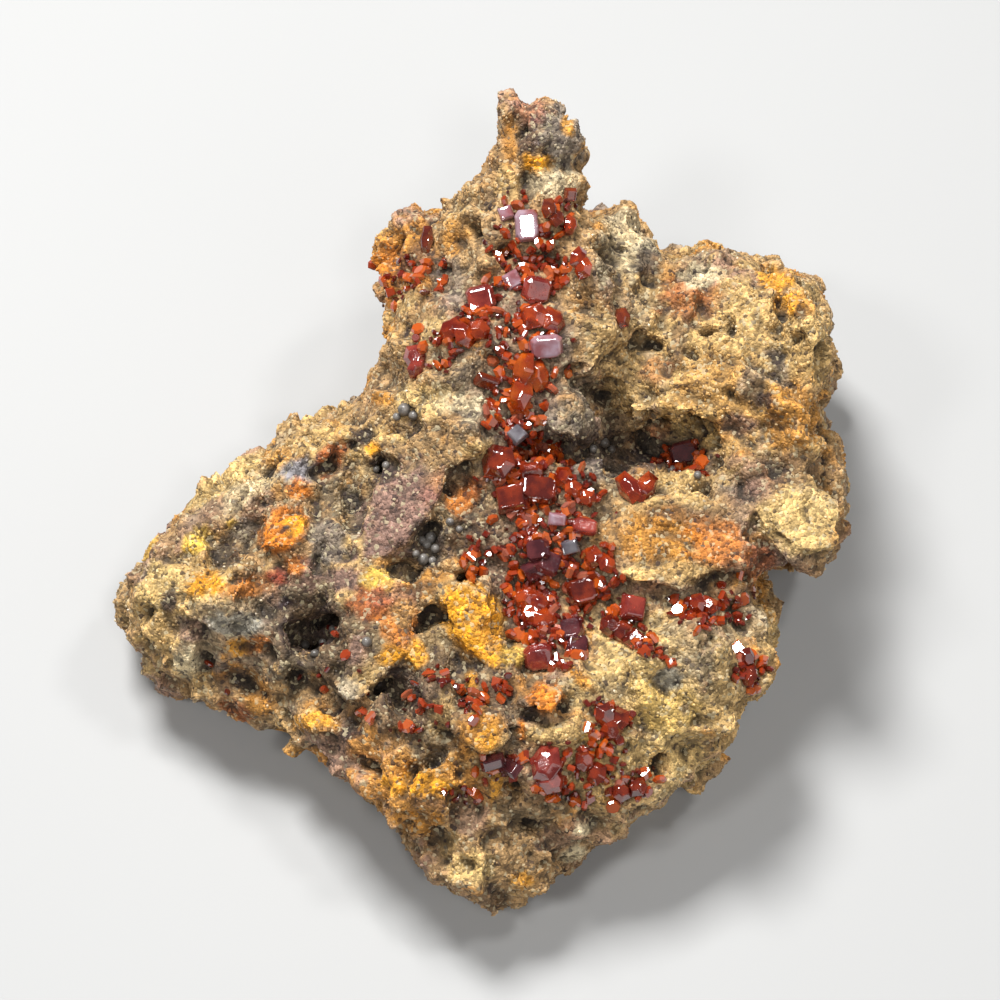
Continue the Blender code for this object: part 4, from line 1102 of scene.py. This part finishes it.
def scatter_tree(name, templates, material):
    """A geometry tree that sets templates on a surface and carries its stain colour, with its painted
    shade, to them.
    """
    tree = bpy.data.node_groups.new(name, "GeometryNodeTree")
    face = tree.interface
    face.new_socket("Geometry", in_out="INPUT", socket_type="NodeSocketGeometry")
    for label, kind in (("Density", "NodeSocketFloat"), ("Smallest", "NodeSocketFloat"),
                        ("Largest", "NodeSocketFloat"), ("Lift", "NodeSocketFloat"),
                        ("Seed", "NodeSocketInt")):
        face.new_socket(label, in_out="INPUT", socket_type=kind)
    face.new_socket("Geometry", in_out="OUTPUT", socket_type="NodeSocketGeometry")
    wiring = Wiring(tree)
    start = wiring.add("NodeGroupInput")
    give = start.outputs
    weight = wiring.add("GeometryNodeInputNamedAttribute", {"Name": "weight"}, data_type="FLOAT")
    density = wiring.math("MULTIPLY", weight.outputs["Attribute"], give["Density"])
    points = wiring.add("GeometryNodeDistributePointsOnFaces", {
        "Mesh": give["Geometry"], "Density": density, "Seed": give["Seed"]})
    lot = wiring.add("FunctionNodeRandomValue", {"Seed": give["Seed"]}, data_type="FLOAT")
    marked = wiring.add("GeometryNodeStoreNamedAttribute", {
        "Geometry": points.outputs["Points"], "Name": "lot", "Value": lot.outputs[1]},
        data_type="FLOAT", domain="POINT")
    lifted = wiring.add("GeometryNodeSetPosition", {
        "Geometry": marked.outputs["Geometry"],
        "Offset": wiring.add("ShaderNodeVectorMath", {
            "Vector": points.outputs["Normal"], "Scale": give["Lift"]}, operation="SCALE").outputs[0]})
    turn = wiring.add("FunctionNodeRandomValue", {"Seed": give["Seed"]}, data_type="FLOAT_VECTOR")
    turn.inputs[0].default_value = (0.0, 0.0, 0.0)
    turn.inputs[1].default_value = (math.tau, math.tau, math.tau)
    size = wiring.add("FunctionNodeRandomValue", {"Seed": give["Seed"]}, data_type="FLOAT")
    wiring.put(size.inputs[2], give["Smallest"])
    wiring.put(size.inputs[3], give["Largest"])
    joined = wiring.add("GeometryNodeGeometryToInstance")
    for template in templates:
        info = wiring.add("GeometryNodeObjectInfo", {"Object": template, "As Instance": True})
        tree.links.new(info.outputs["Geometry"], joined.inputs[0])
    placed = wiring.add("GeometryNodeInstanceOnPoints", {
        "Points": lifted.outputs["Geometry"], "Instance": joined.outputs[0],
        "Pick Instance": True, "Rotation": turn.outputs[0], "Scale": size.outputs[1]})
    real = wiring.add("GeometryNodeRealizeInstances", {"Geometry": placed.outputs["Instances"]})
    dressed = wiring.add("GeometryNodeSetMaterial", {
        "Geometry": real.outputs["Geometry"], "Material": material})
    wiring.add("NodeGroupOutput", {"Geometry": dressed.outputs["Geometry"]})
    return tree


def scatter(name, weights, templates, material, values):
    """A piece made of templates set on the rock where the weights say."""
    rock = bpy.data.objects["tan_rock"]
    mesh = rock.data.copy()
    write_value(mesh, "weight", weights)
    item = add_object(name, mesh)
    tree = scatter_tree(name, templates, material)
    spread = item.modifiers.new("Scatter", "NODES")
    spread.node_group = tree
    for socket in tree.interface.items_tree:
        if socket.in_out == "INPUT" and socket.name in values:
            spread[socket.identifier] = values[socket.name]
    item.update_tag()
    settle(item)
    item.data.materials.clear()
    item.data.materials.append(material)
    for template in templates:
        bpy.data.meshes.remove(template.data)
    return item


def rock_values(name):
    layer = bpy.data.objects["tan_rock"].data.attributes[name]
    values = np.empty(len(layer.data), np.float32)
    layer.data.foreach_get("value", values)
    return values


def build_druse(settings):
    order = random.Random(settings.seed)
    shapes = [tablet_shape(f"tablet {sides} {thick}", sides, table, thick, squash, order)
              for sides, table, thick, squash in TABLETS]
    smallest, largest = (settings.druse_size * share for share in TABLET_SIZES)
    item = scatter("small_tablets", rock_values("crowding"), shapes, druse_material(), {
        "Density": settings.druse_density, "Smallest": smallest, "Largest": largest,
        "Lift": settings.druse_size * TABLET_LIFT, "Seed": settings.seed})
    hand_in(item, "orange_red")


def build_grains(settings):
    order = random.Random(settings.seed + 1)
    points, _ = vertex_rows(bpy.data.objects["tan_rock"].data)
    across, _, _ = display_places(points)
    sand = rock_values("sand")
    material = grain_material()
    smallest, largest = (settings.grain_size * share for share in GRAIN_SIZES)
    for number, (name, low, high) in enumerate(SAND_BANDS):
        inside = ((across >= low) & (across < high)).astype(float)
        shapes = [grain_shape(f"{name} grain {shape}", order) for shape in range(GRAIN_KINDS)]
        item = scatter(name, sand * inside, shapes, material, {
            "Density": settings.grain_density, "Smallest": smallest, "Largest": largest,
            "Lift": 0.0, "Seed": settings.seed + number})
        thin(item, settings.rock_triangles)
        hand_in(item, "tan_rock")


def build_balls(settings):
    order = random.Random(settings.seed + 2)
    tree = BVHTree.FromObject(bpy.data.objects["tan_rock"], bpy.context.evaluated_depsgraph_get())
    shape = bmesh.new()
    for across, up, radius in BALLS:
        place, normal = first_hit(tree, across, up)
        if place is None:
            continue
        made = bmesh.ops.create_icosphere(shape, subdivisions=2, radius=radius * MM)
        centre = place + normal * (radius * BALL_RISE * MM)
        for vertex in made["verts"]:
            vertex.co = vertex.co * order.uniform(*BALL_DENT) + centre
    for face in shape.faces:
        face.smooth = True
    item = add_object("grey_balls", mesh_from(shape, "grey_balls"))
    item.data.materials.append(ball_material())
    hand_in(item, "grey")


def floor_material():
    material, wiring = new_material("pale_floor")
    wiring.surface({
        "Base Color": wiring.mix(wiring.cloud(FLOOR_CLOUD_SCALE, 2.0), *FLOOR_COLOURS),
        "Roughness": 0.8})
    return material


def build_stage():
    shape = bmesh.new()
    bmesh.ops.create_grid(shape, x_segments=1, y_segments=1, size=FLOOR_SIZE / 2.0)
    floor = add_object("pale_floor", mesh_from(shape, "pale_floor"))
    floor.data.materials.append(floor_material())
    target = Vector((0.0, 0.0, 0.016))
    for name, place, width, height, power in LAMPS:
        lamp = bpy.data.lights.new(name, "AREA")
        lamp.shape = "RECTANGLE"
        lamp.size = width
        lamp.size_y = height
        lamp.energy = power
        item = bpy.data.objects.new(name, lamp)
        item.location = place
        item.rotation_euler = (target - Vector(place)).to_track_quat("-Z", "Y").to_euler()
        bpy.context.scene.collection.objects.link(item)
    world = bpy.data.worlds.new("studio")
    world.use_nodes = True
    sky = world.node_tree.nodes["Background"]
    sky.inputs["Color"].default_value = SKY_COLOUR
    sky.inputs["Strength"].default_value = SKY_STRENGTH
    bpy.context.scene.world = world
    bpy.context.scene.view_settings.view_transform = "Standard"
    lens = bpy.data.cameras.new("camera")
    lens.sensor_width = SENSOR
    lens.lens = SENSOR * SIGHT_DISTANCE / DISPLAY_WIDTH
    lens.clip_start = 0.01
    camera = bpy.data.objects.new("camera", lens)
    camera.location = SIGHT_POINT
    camera.rotation_euler = SIGHT.to_track_quat("-Z", "Y").to_euler()
    bpy.context.scene.collection.objects.link(camera)
    bpy.context.scene.camera = camera


class SPECIMEN_OT_rock(bpy.types.Operator):
    """Build the broken, stained rock that carries every crystal"""

    bl_idname = "specimen.rock"
    bl_label = "Rock"

    def execute(self, context):
        build_rock(context.scene.specimen)
        return {"FINISHED"}


class SPECIMEN_OT_crystals(bpy.types.Operator):
    """Refine the large crystals with bevels and growth terraces"""

    bl_idname = "specimen.crystals"
    bl_label = "Large crystals"

    def execute(self, context):
        build_crystals(context.scene.specimen)
        return {"FINISHED"}


class SPECIMEN_OT_druse(bpy.types.Operator):
    """Set the crowded small tablets on the rock"""

    bl_idname = "specimen.druse"
    bl_label = "Small tablets"

    def execute(self, context):
        build_druse(context.scene.specimen)
        return {"FINISHED"}


class SPECIMEN_OT_grains(bpy.types.Operator):
    """Strew sand grains over the rock"""

    bl_idname = "specimen.grains"
    bl_label = "Sand grains"

    def execute(self, context):
        build_grains(context.scene.specimen)
        return {"FINISHED"}


class SPECIMEN_OT_balls(bpy.types.Operator):
    """Set the grey botryoidal balls in the hollows"""

    bl_idname = "specimen.balls"
    bl_label = "Grey balls"

    def execute(self, context):
        build_balls(context.scene.specimen)
        return {"FINISHED"}


class SPECIMEN_OT_stage(bpy.types.Operator):
    """Set up the pale floor, the studio lamps and the camera"""

    bl_idname = "specimen.stage"
    bl_label = "Stage"

    def execute(self, context):
        build_stage()
        return {"FINISHED"}


OPERATORS = (
    SPECIMEN_OT_rock,
    SPECIMEN_OT_crystals,
    SPECIMEN_OT_druse,
    SPECIMEN_OT_grains,
    SPECIMEN_OT_balls,
    SPECIMEN_OT_stage,
)


class VIEW3D_PT_specimen(bpy.types.Panel):
    """Lists the steps that build the specimen"""

    bl_label = "Wulfenite specimen"
    bl_space_type = "VIEW_3D"
    bl_region_type = "UI"
    bl_category = "Specimen"

    def draw(self, context):
        column = self.layout.column()
        for operator in OPERATORS:
            column.operator(operator.bl_idname)
        settings = context.scene.specimen
        for name in settings.bl_rna.properties.keys():
            if name not in {"rna_type", "name"}:
                column.prop(settings, name)


CLASSES = (SpecimenSettings, *OPERATORS, VIEW3D_PT_specimen)


def register():
    for item in CLASSES:
        bpy.utils.register_class(item)
    bpy.types.Scene.specimen = bpy.props.PointerProperty(type=SpecimenSettings)


def unregister():
    del bpy.types.Scene.specimen
    for item in reversed(CLASSES):
        bpy.utils.unregister_class(item)


def main():
    register()
    bpy.ops.specimen.rock()
    bpy.ops.specimen.crystals()
    bpy.ops.specimen.druse()
    bpy.ops.specimen.grains()
    bpy.ops.specimen.balls()
    bpy.ops.specimen.stage()


if __name__ == "__main__":
    main()
